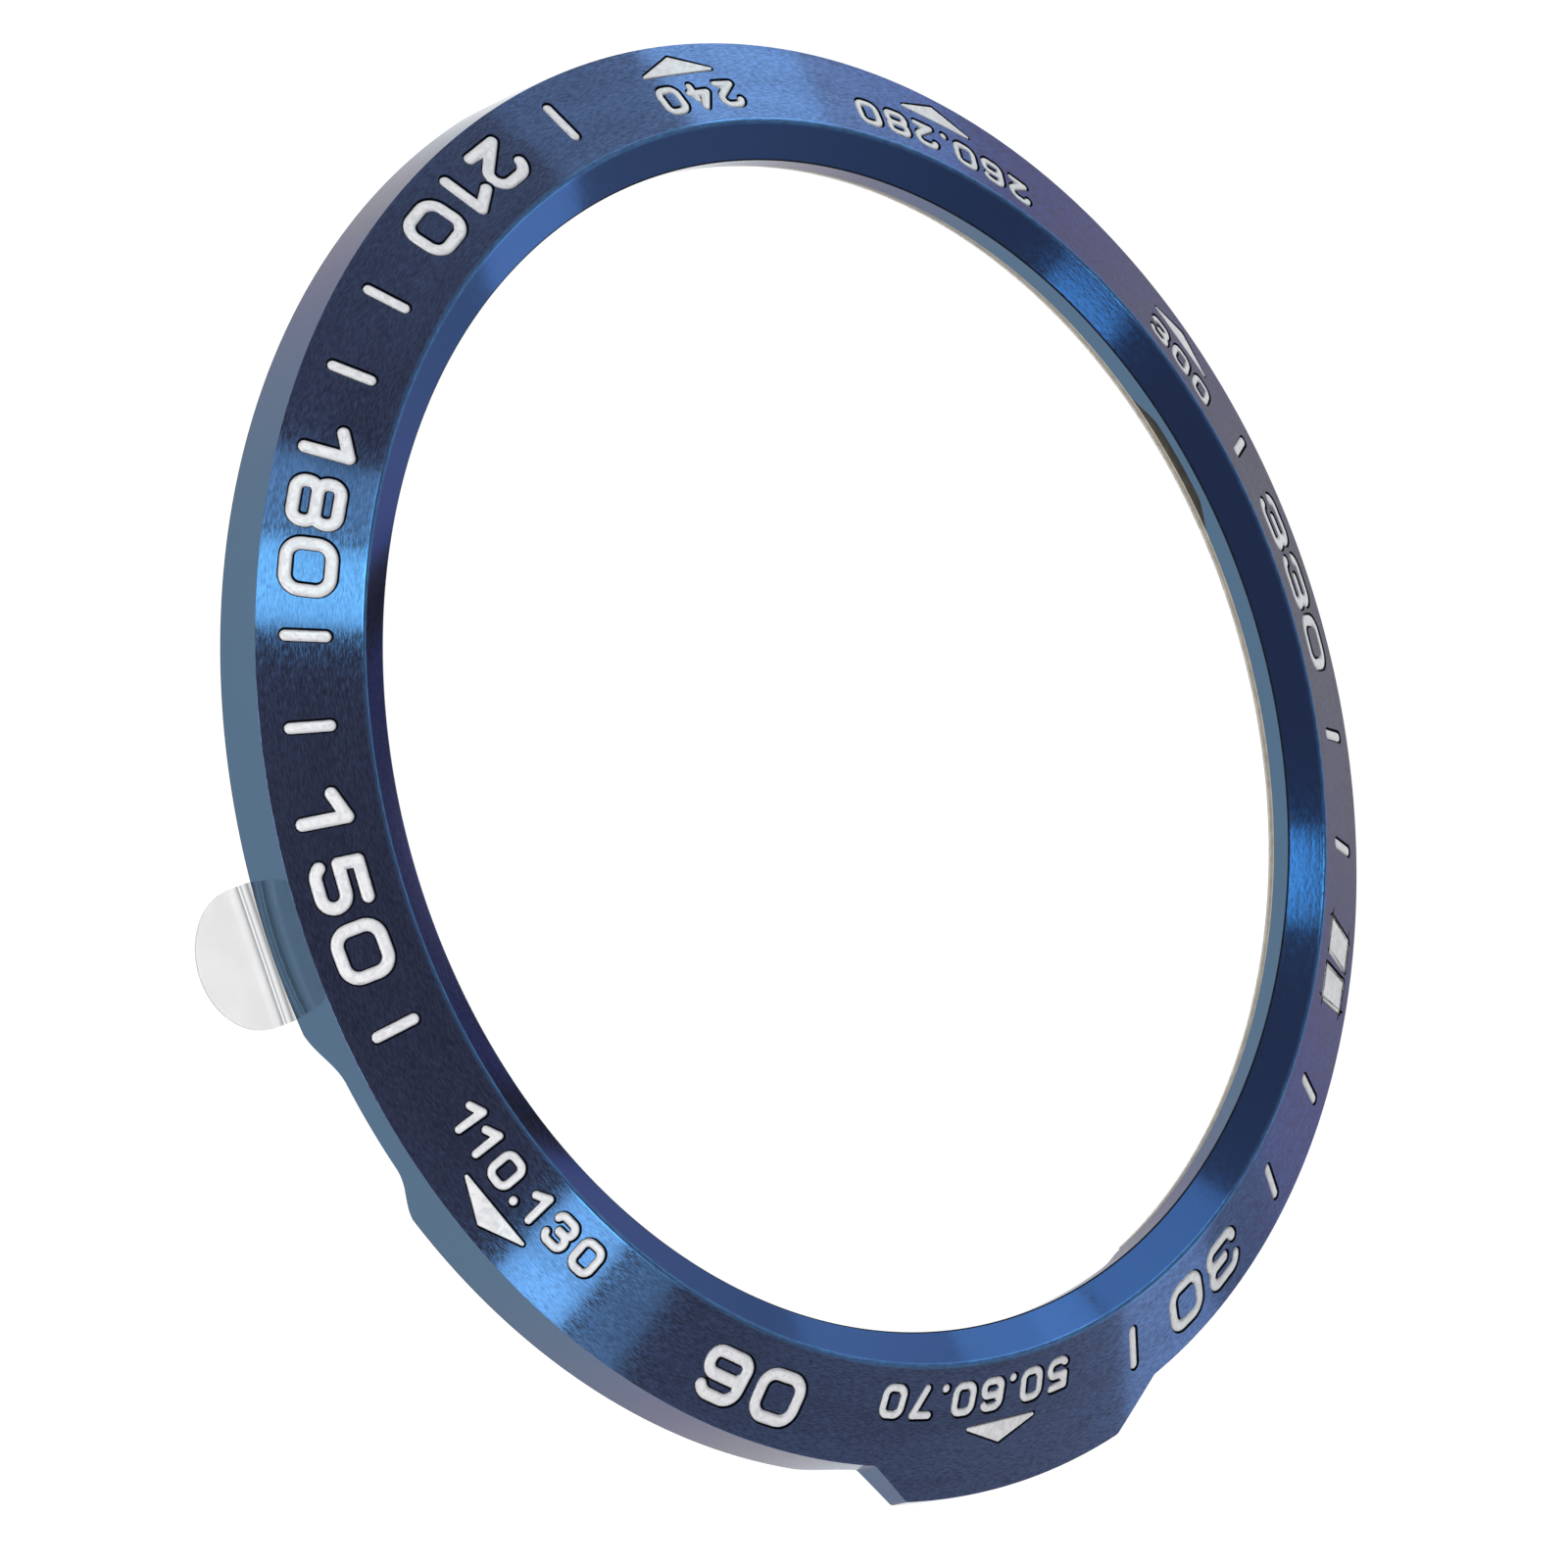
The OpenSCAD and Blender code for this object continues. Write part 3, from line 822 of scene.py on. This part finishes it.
def painted_step_shade(f):
    """The step that the cutter leaves round the enamel, coloured dark and dull as painted shade for the
    shadow that lies in it.
    """
    return speckled(
        "engraved_step_painted_shade", 12.0, ((0.3, f.engraved), (0.8, linear("#14203a"))),
        {"Metallic": 0.6, "Roughness": 0.5}, 2.0,
    )[0]


def painted_shade_edge():
    """The thin edges of the ring, coloured near black as painted shade for the shadow that lies on them.
    """
    return speckled(
        "painted_shade_edge", 6.0, ((0.3, linear("#05070c")), (0.8, linear("#1a2130"))),
        {"Roughness": 0.7, "Specular IOR Level": 0.1}, 2.0,
    )[0]


def white_enamel(f):
    """Fired enamel: a glossy white fill with a painted highlight along its outer edge and painted shade,
    in patches, on its rounded edge.
    """
    material, tree, surface, speck, tone = speckled(
        "white_enamel", 3.5, ((0.38, linear("#dddfe4")), (0.58, f.enamel)),
        {"Roughness": 0.18, "Coat Weight": 0.3}, 3.0, 0.8,
    )
    rim = add_node(tree, "ShaderNodeAttribute", attribute_name="rim").outputs["Fac"]
    patches = add_node(tree, "ShaderNodeMapRange", {"From Min": 0.4, "From Max": 0.7}, {"Value": speck})
    # Painted shade in a band on the enamel's rounded edge, in patches
    groove_shade = add_node(
        tree, "ShaderNodeMath", links={0: band(tree, rim, 0.5, 0.5), 1: patches.outputs["Result"]},
        operation="MULTIPLY",
    )
    # Painted highlight along the enamel's outer edge
    edge = add_node(tree, "ShaderNodeMapRange", {"From Min": 0.7, "From Max": 1.0}, {"Value": rim})
    tone = tinted(
        tree, tone, (groove_shade.outputs[0], linear("#b4b7bf")), (edge.outputs["Result"], linear("#fbfafc")),
    )
    tree.links.new(tone, surface.inputs["Base Color"])
    raised(tree, surface, speck, 0.6, 0.014 * MM)
    return material


def film(name, tone, dark, roughness, per_mm=2.5, clear=0.0, shade_for=None):
    """A thin plastic film or glue layer with a faint mottle; clear lets light through it."""
    material, tree, surface, mottle, shade = speckled(
        name, per_mm, ((0.3, dark), (0.7, tone)), {"Roughness": roughness, "Transmission Weight": clear},
    )
    if shade_for is not None:
        tree.links.new(shade_for(tree, shade), surface.inputs["Base Color"])
    raised(tree, surface, mottle, 0.2, 0.01 * MM)
    return material


# The metal ring


def guard_radius(s, bearing):
    """Outer radius of the ring at a bearing: the wall, or the guard's straight-ended lobe."""
    reach = s.outer_r + s.guard_reach
    if not GUARD_ROOTS[0] < bearing < GUARD_ROOTS[1]:
        return s.outer_r
    if GUARD_TIPS[0] <= bearing <= GUARD_TIPS[1]:
        return reach
    side = 0 if bearing < GUARD_TIPS[0] else 1
    root = on_bearing(GUARD_ROOTS[side], s.outer_r)
    tip = on_bearing(GUARD_TIPS[side], reach)
    ray = on_bearing(bearing, 1.0)
    run = tip - root
    return (root.x * run.y - root.y * run.x) / (ray.x * run.y - ray.y * run.x)


# Width of the strips of painted shade at the window's edge and at the foot of the wall
EDGE_LINE = 0.05 * MM
# The ring's materials by their places: dial face and bevel, engraved step with painted shade, walls,
# strips of painted shade
FACE, STEP, WALL, SHADE_LINE = range(4)


def ring_blank(s):
    """The turned ring with the guard's lobe, before it is milled and engraved.

    The section's corners are cut off at shares of the crown.
    """
    c = s.crown
    rim_cut, crest_cut, lip_cut = 0.06 * c, 1.2 * c, 0.7 * c
    bevel = bevel_rise(s)
    foot = s.rim_z
    bm = spun((
        (s.skirt_r + c / 2, foot), (s.outer_r - c / 2, foot), (s.outer_r, foot + c / 2),
        (s.outer_r, foot + EDGE_LINE), (s.outer_r, face_z(s, s.outer_r) - rim_cut),
        (s.outer_r - rim_cut, face_z(s, s.outer_r - rim_cut)),
        (s.crest_r + crest_cut, face_z(s, s.crest_r + crest_cut)),
        (s.crest_r, foot + s.crest_h - 0.35 * c),
        (s.crest_r - crest_cut, foot + s.crest_h - bevel * crest_cut),
        (s.window_r + EDGE_LINE, foot + s.lip_top_h + bevel * EDGE_LINE),
        (s.window_r + lip_cut, foot + s.lip_top_h + bevel * lip_cut),
        (s.window_r, foot + s.lip_top_h - c / 2), (s.window_r, foot + s.lip_low_h + c / 2),
        (s.window_r + c / 2, under_z(s, s.window_r + c / 2)),
        (s.skirt_r, foot + s.root_h), (s.skirt_r, foot + c / 2),
    ), RING_STEPS)
    near_wall = s.outer_r - 1.5 * c
    for v in bm.verts:
        r = v.co.xy.length
        reach = guard_radius(s, bearing_of(v.co)) - s.outer_r
        if r < near_wall or reach <= 0:
            continue
        v.co.xy *= (r + reach) / r
        if v.co.z > foot + s.wall_h / 2:
            v.co.z -= face_fall(s) * reach
    return finish_mesh("bezel_ring", bm)


# A slot's cutter: its steps round the ring, how far it stands out of the window's wall and of the outer
# wall, the two distances from the skirt between which its base drops to the rim, and how far its closed
# ends lie below the metal
CUTTER_STEPS = 96
CUTTER_REACH = (0.5 * MM, 2.2 * MM)
CUTTER_DROP = (0.25 * MM, 0.03 * MM)
CUTTER_GAP = 0.002 * MM
CUTTER_FOOT = -2 * MM


def slot_cutter(s, bearings):
    """A cutter whose roof is a cone, with an eased run-out at each end."""
    low, flat_from, flat_to, high = bearings
    radii = (
        s.window_r - CUTTER_REACH[0], s.skirt_r - CUTTER_DROP[0],
        s.skirt_r - CUTTER_DROP[1], s.outer_r + CUTTER_REACH[1],
    )
    bm = bmesh.new()
    bmesh.ops.create_grid(bm, x_segments=CUTTER_STEPS, y_segments=len(radii) - 1, size=0.5)
    for v in bm.verts:
        bearing = low + (high - low) * (v.co.x + 0.5)
        row = round((v.co.y + 0.5) * (len(radii) - 1))
        r = radii[row]
        ease = min(
            smooth((bearing - low) / (flat_from - low)), smooth((high - bearing) / (high - flat_to)),
        )
        base = under_z(s, r) if row < 2 else s.rim_z
        v.co = on_bearing(bearing, r, base - CUTTER_GAP + (slot_z(s, r) - base) * ease)
    for v in extruded(bm):
        v.co.z = CUTTER_FOOT
    return piece("slot", finish_mesh("slot", bm), [])


# Cosines above which a face counts as lying on a turned surface, and as not turned sideways
TURNED = 0.9999
STRAIGHT = 0.9995


def round_normals(s, mesh):
    """Gives each turned surface the normal of its true cone or cylinder.

    Pockets, cut corners and the guard's straight flanks keep their own.
    """
    kinds = [Vector(n).normalized() for n in (
        (face_fall(s), 1.0), (-bevel_rise(s), 1.0), (-under_fall(s), -1.0), (1.0, 0.0), (-1.0, 0.0),
    )]
    normals = [n.vector.copy() for n in mesh.corner_normals]
    for face in mesh.polygons:
        if face.material_index != FACE:
            continue
        centre = face.center
        out = centre.xy.normalized()
        flat = Vector((face.normal.xy.dot(out), face.normal.z))
        best = max(kinds, key=flat.dot)
        if flat.dot(best) < TURNED or flat.length < STRAIGHT:
            continue
        if centre.xy.length > s.outer_r - ON_WALL and best.y == 0:
            bearing = bearing_of(centre)
            tip = GUARD_TIPS[0] < bearing < GUARD_TIPS[1]
            if GUARD_ROOTS[0] < bearing < GUARD_ROOTS[1] and not tip:
                continue
        for loop in face.loop_indices:
            ray = mesh.vertices[mesh.loops[loop].vertex_index].co.xy.normalized()
            normals[loop] = Vector((ray.x * best.x, ray.y * best.x, best.y))
    mesh.normals_split_custom_set(normals)


# Operators


class BEZEL_OT_dial(bpy.types.Operator):
    """Makes the metal ring with its engraving, and the enamel of every mark"""

    bl_idname = "bezel.dial"
    bl_label = "Ring and enamel"

    def execute(self, context):
        ring, dial, _, finishes = settings()
        marks = lay_out_marks(ring, dial)
        metals = [
            brushed_face(finishes, ring), painted_step_shade(finishes), turned_wall(finishes), painted_shade_edge(),
        ]
        enamel = white_enamel(finishes)
        body = piece("ring_metal", ring_blank(ring), metals)
        for bearings in SLOTS + (GUARD_SLOT,):
            boolean(body, slot_cutter(ring, bearings), "DIFFERENCE")
        # The pockets' walls and floor take the step's painted shade
        pockets = joined("pockets", marks.pockets, metals)
        for face in pockets.data.polygons:
            face.material_index = STEP
        boolean(body, pockets, "DIFFERENCE")
        for face in body.data.polygons:
            face.use_smooth = True
        body.data.set_sharp_from_angle(angle=METAL_SHARP)
        round_normals(ring, body.data)
        for face in body.data.polygons:
            if face.material_index != FACE:
                continue
            r = face.center.xy.length
            # Thin strips of painted shade at the window's upper edge and at the foot of the outer wall
            window_edge = r < ring.window_r + EDGE_LINE and face.normal.z > 0.1
            rim_edge = r > ring.outer_r - EDGE_LINE and face.center.z < ring.rim_z + EDGE_LINE
            if window_edge or rim_edge:
                face.material_index = SHADE_LINE
            elif face.normal.z < 0.5:
                face.material_index = WALL
        settle(body, "ring", "anodised_ring", "bezel_ring")
        for group, meshes in marks.fills.items():
            fill = joined(group + "_fill", meshes, [enamel])
            nodes = [group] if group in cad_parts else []
            settle(fill, "ring", "white_enamel", *nodes)
        for fill, pocket in marks.shapes.values():
            bpy.data.meshes.remove(fill)
            bpy.data.meshes.remove(pocket)
        return {"FINISHED"}


# Bearings between which the tape's inner edge is cut back, in degrees
TAPE_NOTCHES = ((222.9, 238.5), (40.0, 79.6))


def notched(bearing):
    """Whether the tape's inner edge is cut back at a bearing."""
    return any(low < bearing < high for low, high in TAPE_NOTCHES)


def film_ring(name, s, f, depth, thick):
    """One layer of the tape, under the flange."""
    inner = s.window_r + f.set_back
    cut = inner + f.notch_depth
    corners = ((inner, depth), (f.outer_r, depth), (f.outer_r, depth + thick), (inner, depth + thick))
    bm = spun([(r, under_z(s, r) - d) for r, d in corners], FILM_STEPS)
    for v in bm.verts:
        r = v.co.xy.length
        if r < inner + ON_WALL and notched(bearing_of(v.co)):
            v.co.z += under_z(s, cut) - under_z(s, r)
            v.co.xy *= cut / r
    return finish_mesh(name, bm, True)


def settle_film(obj, body, slot, node):
    """Settles a piece of film, whose cut edges stay sharp."""
    obj.data.set_sharp_from_angle(angle=FILM_SHARP)
    settle(obj, body, slot, node)


class BEZEL_OT_tape(bpy.types.Operator):
    """Makes the tape's two adhesive layers and its carrier film"""

    bl_idname = "bezel.tape"
    bl_label = "Tape"

    def execute(self, context):
        ring, _, films, finishes = settings()
        glue = film("acrylic_adhesive", finishes.adhesive, linear("#8d877b"), 0.35)
        carrier = film("polyester_carrier", finishes.carrier, linear("#787267"), 0.4)
        depth = films.gap
        layers = (
            ("upper_adhesive", films.adhesive_t, glue, "adhesive"),
            ("tape_carrier", films.carrier_t, carrier, "carrier_film"),
            ("lower_adhesive", films.adhesive_t, glue, "adhesive"),
        )
        for name, thick, material, slot in layers:
            obj = piece(name + "_layer", film_ring(name, ring, films, depth, thick), [material])
            settle_film(obj, "ring", slot, name)
            depth += thick + films.gap
        return {"FINISHED"}


# The liner's neck: its distance from the skirt, its start below the flange, the radius of its bend
NECK_INSET = 0.35 * MM
NECK_DROP = 0.16 * MM
NECK_BEND = 0.1 * MM
BEND_STEPS = 6


def folded_neck(s, f):
    """The liner's neck, towards +Y: down inside the skirt, and out under the rim to the crease."""
    inside = s.skirt_r - NECK_INSET
    t = f.liner_t
    line = [(inside - t, under_z(s, inside) - NECK_DROP)]
    for i in range(BEND_STEPS + 1):
        a = math.radians(90 * i / BEND_STEPS)
        line.append((
            inside - NECK_BEND * math.cos(a) + NECK_BEND - t, t / 2 + NECK_BEND * (1 - math.sin(a)),
        ))
    line.append((s.outer_r + f.crease_out - f.crease_gap, t / 2))
    bm = bmesh.new()
    verts = [bm.verts.new((-f.tab_w / 2, y, z)) for y, z in line]
    edges = [bm.edges.new(pair) for pair in zip(verts, verts[1:])]
    swept = bmesh.ops.extrude_edge_only(bm, edges=edges)
    moved = [v for v in swept["geom"] if isinstance(v, bmesh.types.BMVert)]
    bmesh.ops.translate(bm, verts=moved, vec=(f.tab_w, 0, 0))
    bmesh.ops.recalc_face_normals(bm, faces=bm.faces)
    bmesh.ops.solidify(bm, geom=bm.faces[:], thickness=t)
    low = min(v.co.z for v in bm.verts)
    bmesh.ops.translate(bm, verts=bm.verts, vec=(0, 0, -low))
    return finish_mesh("neck", bm, True)


# The flap's cuts across it, its ridge near the crease (distance, half width and height in millimetres),
# and the slow rise of one side (length and height in millimetres)
FLAP_CUTS = 40
FLAP_RIDGE = (0.25, 0.16, 0.09)
FLAP_RISE = (3.0, 0.05)


def tab_flap(s, f):
    """The pull tab's free end, towards +Y: a tongue with a round tip and a soft ridge."""
    tip_r = f.tab_w / 2
    tip_mid = s.outer_r + f.tab_reach - tip_r
    start = s.outer_r + f.crease_out + f.crease_gap
    outline = vectors((-tip_r, start), (tip_r, start)) + arc(0, tip_mid, tip_r, 0, 180, 48)
    bm = bmesh.new()
    bm.faces.new([bm.verts.new((p.x, p.y, 0)) for p in outline])
    for i in range(1, FLAP_CUTS):
        cut = start + (tip_mid + tip_r - start) * i / FLAP_CUTS
        bmesh.ops.bisect_plane(
            bm, geom=bm.verts[:] + bm.edges[:] + bm.faces[:], plane_co=(0, cut, 0), plane_no=(0, 1, 0),
        )
    bmesh.ops.translate(bm, verts=extruded(bm), vec=(0, 0, f.liner_t))
    ridge, ridge_half, ridge_h = FLAP_RIDGE
    rise_len, rise_h = FLAP_RISE
    for v in bm.verts:
        along = (v.co.y - start) / MM
        v.co.z += ridge_h * MM * math.exp(-((along - ridge) / ridge_half) ** 2)
        v.co.z += rise_h * MM * smooth(along / rise_len) * (0.5 + 0.5 * v.co.x / tip_r)
    return finish_mesh("flap", bm, True)


# Painted shade in lines across the bent film, beside the wall and at the crease: distance beyond the outer
# wall and half width in millimetres, sRGB colour
CREASE_SHADES = ((0.0, 0.22, "#6d7074"), (0.3, 0.1, "#8d8f92"), (0.47, 0.08, "#b4b4b6"))


def painted_crease_shade(s, f, tree, shade):
    """Darkens the film's tone with painted shade in lines across the tab, beside the wall and where it is
    bent.
    """
    point = add_node(tree, "ShaderNodeTexCoord").outputs["Object"]
    out = on_bearing(math.degrees(f.tab_bearing), 1.0)
    along = add_node(tree, "ShaderNodeVectorMath", {1: out}, {0: point}, operation="DOT_PRODUCT")
    for beyond, half, tone in CREASE_SHADES:
        line = band(tree, along.outputs["Value"], s.outer_r + beyond * MM, half * MM)
        shade = tinted(tree, shade, (line, linear(tone)))
    return shade


class BEZEL_OT_liner(bpy.types.Operator):
    """Makes the release liner with its neck, and the pull tab beyond the crease"""

    bl_idname = "bezel.liner"
    bl_label = "Liner and pull tab"

    def execute(self, context):
        ring, _, films, finishes = settings()
        # The film carries painted shade in lines across the tab
        paper = film(
            "siliconed_film", finishes.liner, linear("#f8f6f6"), 0.3, 0.9, 0.85,
            lambda tree, shade: painted_crease_shade(ring, films, tree, shade),
        )
        depth = 4 * films.gap + 2 * films.adhesive_t + films.carrier_t
        sheet = film_ring("liner", ring, films, depth, films.liner_t)
        neck, flap = folded_neck(ring, films), tab_flap(ring, films)
        for mesh in (neck, flap):
            mesh.transform(Matrix.Rotation(-films.tab_bearing, 4, "Z"))
        liner = joined("release_liner_film", [sheet, neck], [paper])
        settle_film(liner, "liner", "liner_film", "release_liner")
        tab = piece("pull_tab_film", flap, [paper])
        settle_film(tab, "tab", "liner_film", "pull_tab")
        return {"FINISHED"}


# The camera that was fitted to the photograph: its place, the directions to the right and up in its
# picture, and its lens in millimetres for a picture 36 mm wide
CAMERA_PLACE = (0.12714, -0.19727, 0.25516)
CAMERA_RIGHT = Vector((-0.14324556, 0.7478373, 0.64824384))
CAMERA_UP = Vector((-0.92022358, -0.34170491, 0.19085679))
CAMERA_LENS = 225.17
LIGHT_DISTANCE = 0.8
# Soft boxes by the fans that they throw: bearings of the fan on the dial face, from its sharp side, the
# same on the bevel, the colour, and the box's parts from the one to the other: start, end and radiance
# in W/m2/sr
MIRRORED_BOXES = {
    "left_strip": ((168.2, 177.0), (349.5, 357.0), "#acfbff", ((0.0, 0.5, 3.4), (0.5, 1.0, 2.4))),
    "left_tail": ((177.0, 183.0), (357.0, 366.0), "#b8f8ff", ((0.0, 0.9, 1.1),)),
    "right_strip": ((115.8, 107.0), (293.5, 286.0), "#b8f8ff", ((0.0, 0.5, 2.9), (0.5, 1.0, 1.8))),
    "right_tail": ((107.0, 101.0), (286.0, 281.0), "#b8f8ff", ((0.0, 0.9, 0.6),)),
    "far_left_head": ((224.0, 241.0), (24.0, 44.0), "#c8f4ff", ((0.0, 0.5, 0.36), (0.5, 1.1, 0.75))),
    "far_left_box": ((241.0, 247.0), (44.0, 51.0), "#c8f4ff", ((0.0, 0.5, 1.8), (0.5, 1.0, 1.05))),
    "far_left_mid": ((247.0, 258.0), (51.0, 62.0), "#c8f4ff", ((0.0, 0.5, 1.7), (0.5, 1.0, 0.85))),
    "far_left_tail": ((258.0, 276.0), (62.0, 80.0), "#e0f4ff", ((0.0, 0.5, 0.9), (0.5, 0.9, 0.45))),
    "far_right_box": ((30.0, 42.0), (214.0, 230.0), "#d8f4ff", ((0.0, 1.15, 0.8),)),
}
# How far a box reaches beyond the fan's foot, as an angle from the ring
BOX_MARGIN = math.radians(5.0)
# The box under the camera lights the enamel: bearing, elevation, width and height in metres, radiance,
# colour
FRONT_BOX = (147.0, 26.0, 0.9, 0.34, 5.0, "#fffdfb")


def facing(place, right, up, back):
    """The matrix of a camera or a lamp at a place, from its three directions."""
    return Matrix.Translation(place) @ Matrix((right, up, back)).transposed().to_4x4()


def soft_box(name, centre, side, wide, high, radiance, hex_colour):
    """A soft box that faces the ring and glows evenly; wide and high are in metres."""
    light = bpy.data.lights.new(name, "AREA")
    light.shape = "RECTANGLE"
    light.size = wide
    light.size_y = high
    light.energy = radiance * math.pi * wide * high
    light.color = linear(hex_colour)[:3]
    lamp = bpy.data.objects.new(name, light)
    back = centre.normalized()
    side = (side - side.dot(back) * back).normalized()
    lamp.matrix_world = facing(centre, side, back.cross(side), back)
    bpy.context.scene.collection.objects.link(lamp)


def mirrored(ring, bearing, on_bevel):
    """The place of a light that the camera sees mirrored in the dial face or the bevel at a bearing."""
    if on_bevel:
        r = (ring.crest_r + ring.window_r) / 2
        place = on_bearing(bearing, r, ring.rim_z + (ring.crest_h + ring.lip_top_h) / 2)
        normal = on_bearing(bearing, -bevel_rise(ring), 1.0).normalized()
    else:
        r = (ring.crest_r + ring.outer_r) / 2
        place = on_bearing(bearing, r, face_z(ring, r))
        normal = on_bearing(bearing, face_fall(ring), 1.0).normalized()
    view = (Vector(CAMERA_PLACE) - place).normalized()
    return place + (2 * view.dot(normal) * normal - view) * LIGHT_DISTANCE


def hang_soft_boxes(ring):
    """Every soft box of the studio."""
    margin = BOX_MARGIN * LIGHT_DISTANCE
    for name, (face, bevel, tone, parts) in MIRRORED_BOXES.items():
        low = [mirrored(ring, bearing, False) for bearing in face]
        top = [mirrored(ring, bearing, True) for bearing in bevel]
        side = (low[1] + top[1] - low[0] - top[0]) / 2
        rise = (top[0] + top[1] - low[0] - low[1]) / 2
        for start, end, radiance in parts:
            below = 0.0 if start else margin
            middle = (low[0] + low[1] + rise * (start + end) - rise.normalized() * below) / 2
            high = rise.length * (end - start) + below
            soft_box(name + ("_top" if start else ""), middle, side, side.length, high, radiance, tone)
    bearing, elevation, wide, high, radiance, tone = FRONT_BOX
    up = math.radians(elevation)
    centre = on_bearing(bearing, math.cos(up), math.sin(up)) * LIGHT_DISTANCE
    soft_box("front_box", centre, on_bearing(bearing + 90, 1.0), wide, high, radiance, tone)


# Brightness of the room by elevation: sine of the elevation, sRGB colour
ROOM_STOPS = (
    (-0.1, "#f0eeec"), (0.0, "#f0eeec"), (0.17, "#dcd6d2"), (0.34, "#bab2b0"),
    (0.6, "#a6a2a2"), (0.85, "#8e8181"), (1.0, "#8a7d7d"),
)


def room(scene):
    """The room round the table: pale at the horizon and dim overhead."""
    world = bpy.data.worlds.new("room")
    world.use_nodes = True
    tree = world.node_tree
    ray = add_node(tree, "ShaderNodeTexCoord").outputs["Generated"]
    rise = add_node(tree, "ShaderNodeSeparateXYZ", links={"Vector": ray}).outputs["Z"]
    low = ROOM_STOPS[0][0]
    place = add_node(tree, "ShaderNodeMapRange", {"From Min": low, "From Max": 1.0}, {"Value": rise})
    stops = [((z - low) / (1.0 - low), linear(tone)) for z, tone in ROOM_STOPS]
    tone = add_node(tree, "ShaderNodeValToRGB", links={"Fac": place.outputs["Result"]}, stops=stops)
    tree.links.new(tone.outputs["Color"], tree.nodes["Background"].inputs["Color"])
    scene.world = world


class BEZEL_OT_stage(bpy.types.Operator):
    """Makes the floor, the soft boxes, the surroundings and the camera"""

    bl_idname = "bezel.stage"
    bl_label = "Stage"

    def execute(self, context):
        ring, _, _, finishes = settings()
        bm = bmesh.new()
        bmesh.ops.create_grid(bm, x_segments=4, y_segments=4, size=3.0)
        table, _, _ = new_material("lit_acrylic_table", {
            "Base Color": finishes.floor, "Roughness": 0.9,
            "Emission Color": linear("#ffffff"), "Emission Strength": 0.95,
        })
        floor = piece("floor", finish_mesh("floor", bm), [table])
        hang_soft_boxes(ring)
        room(context.scene)
        context.scene.view_settings.view_transform = "Standard"
        camera = bpy.data.objects.new("camera", bpy.data.cameras.new("camera"))
        camera.data.sensor_fit = "HORIZONTAL"
        camera.data.sensor_width = 36.0
        camera.data.lens = CAMERA_LENS
        camera.data.clip_start = 0.01
        camera.matrix_world = facing(
            CAMERA_PLACE, CAMERA_RIGHT, CAMERA_UP, CAMERA_RIGHT.cross(CAMERA_UP),
        )
        context.scene.collection.objects.link(camera)
        context.scene.camera = camera
        return {"FINISHED"}


class BEZEL_PT_panel(bpy.types.Panel):
    """Lists the steps that build the ring"""

    bl_idname = "BEZEL_PT_panel"
    bl_label = "Bezel ring"
    bl_space_type = "VIEW_3D"
    bl_region_type = "UI"
    bl_category = "Bezel ring"

    def draw(self, context):
        for operator in OPERATORS:
            self.layout.operator(operator.bl_idname)


OPERATORS = (BEZEL_OT_stage, BEZEL_OT_dial, BEZEL_OT_tape, BEZEL_OT_liner)
GROUPS = {
    "ring_sizes": RingSizes,
    "dial_sizes": DialSizes,
    "film_sizes": FilmSizes,
    "ring_finishes": Finishes,
}


def register():
    """Registers the property groups, operators and panel."""
    for name, group in GROUPS.items():
        bpy.utils.register_class(group)
        setattr(bpy.types.Scene, name, bpy.props.PointerProperty(type=group))
    for cls in OPERATORS + (BEZEL_PT_panel,):
        bpy.utils.register_class(cls)


def unregister():
    """Removes what register added."""
    for cls in reversed(OPERATORS + (BEZEL_PT_panel,)):
        bpy.utils.unregister_class(cls)
    for name, group in GROUPS.items():
        delattr(bpy.types.Scene, name)
        bpy.utils.unregister_class(group)


def main():
    """Builds everything in order."""
    register()
    bpy.ops.bezel.stage()
    bpy.ops.bezel.dial()
    bpy.ops.bezel.tape()
    bpy.ops.bezel.liner()
    bpy.context.view_layer.update()


if __name__ == "__main__":
    main()
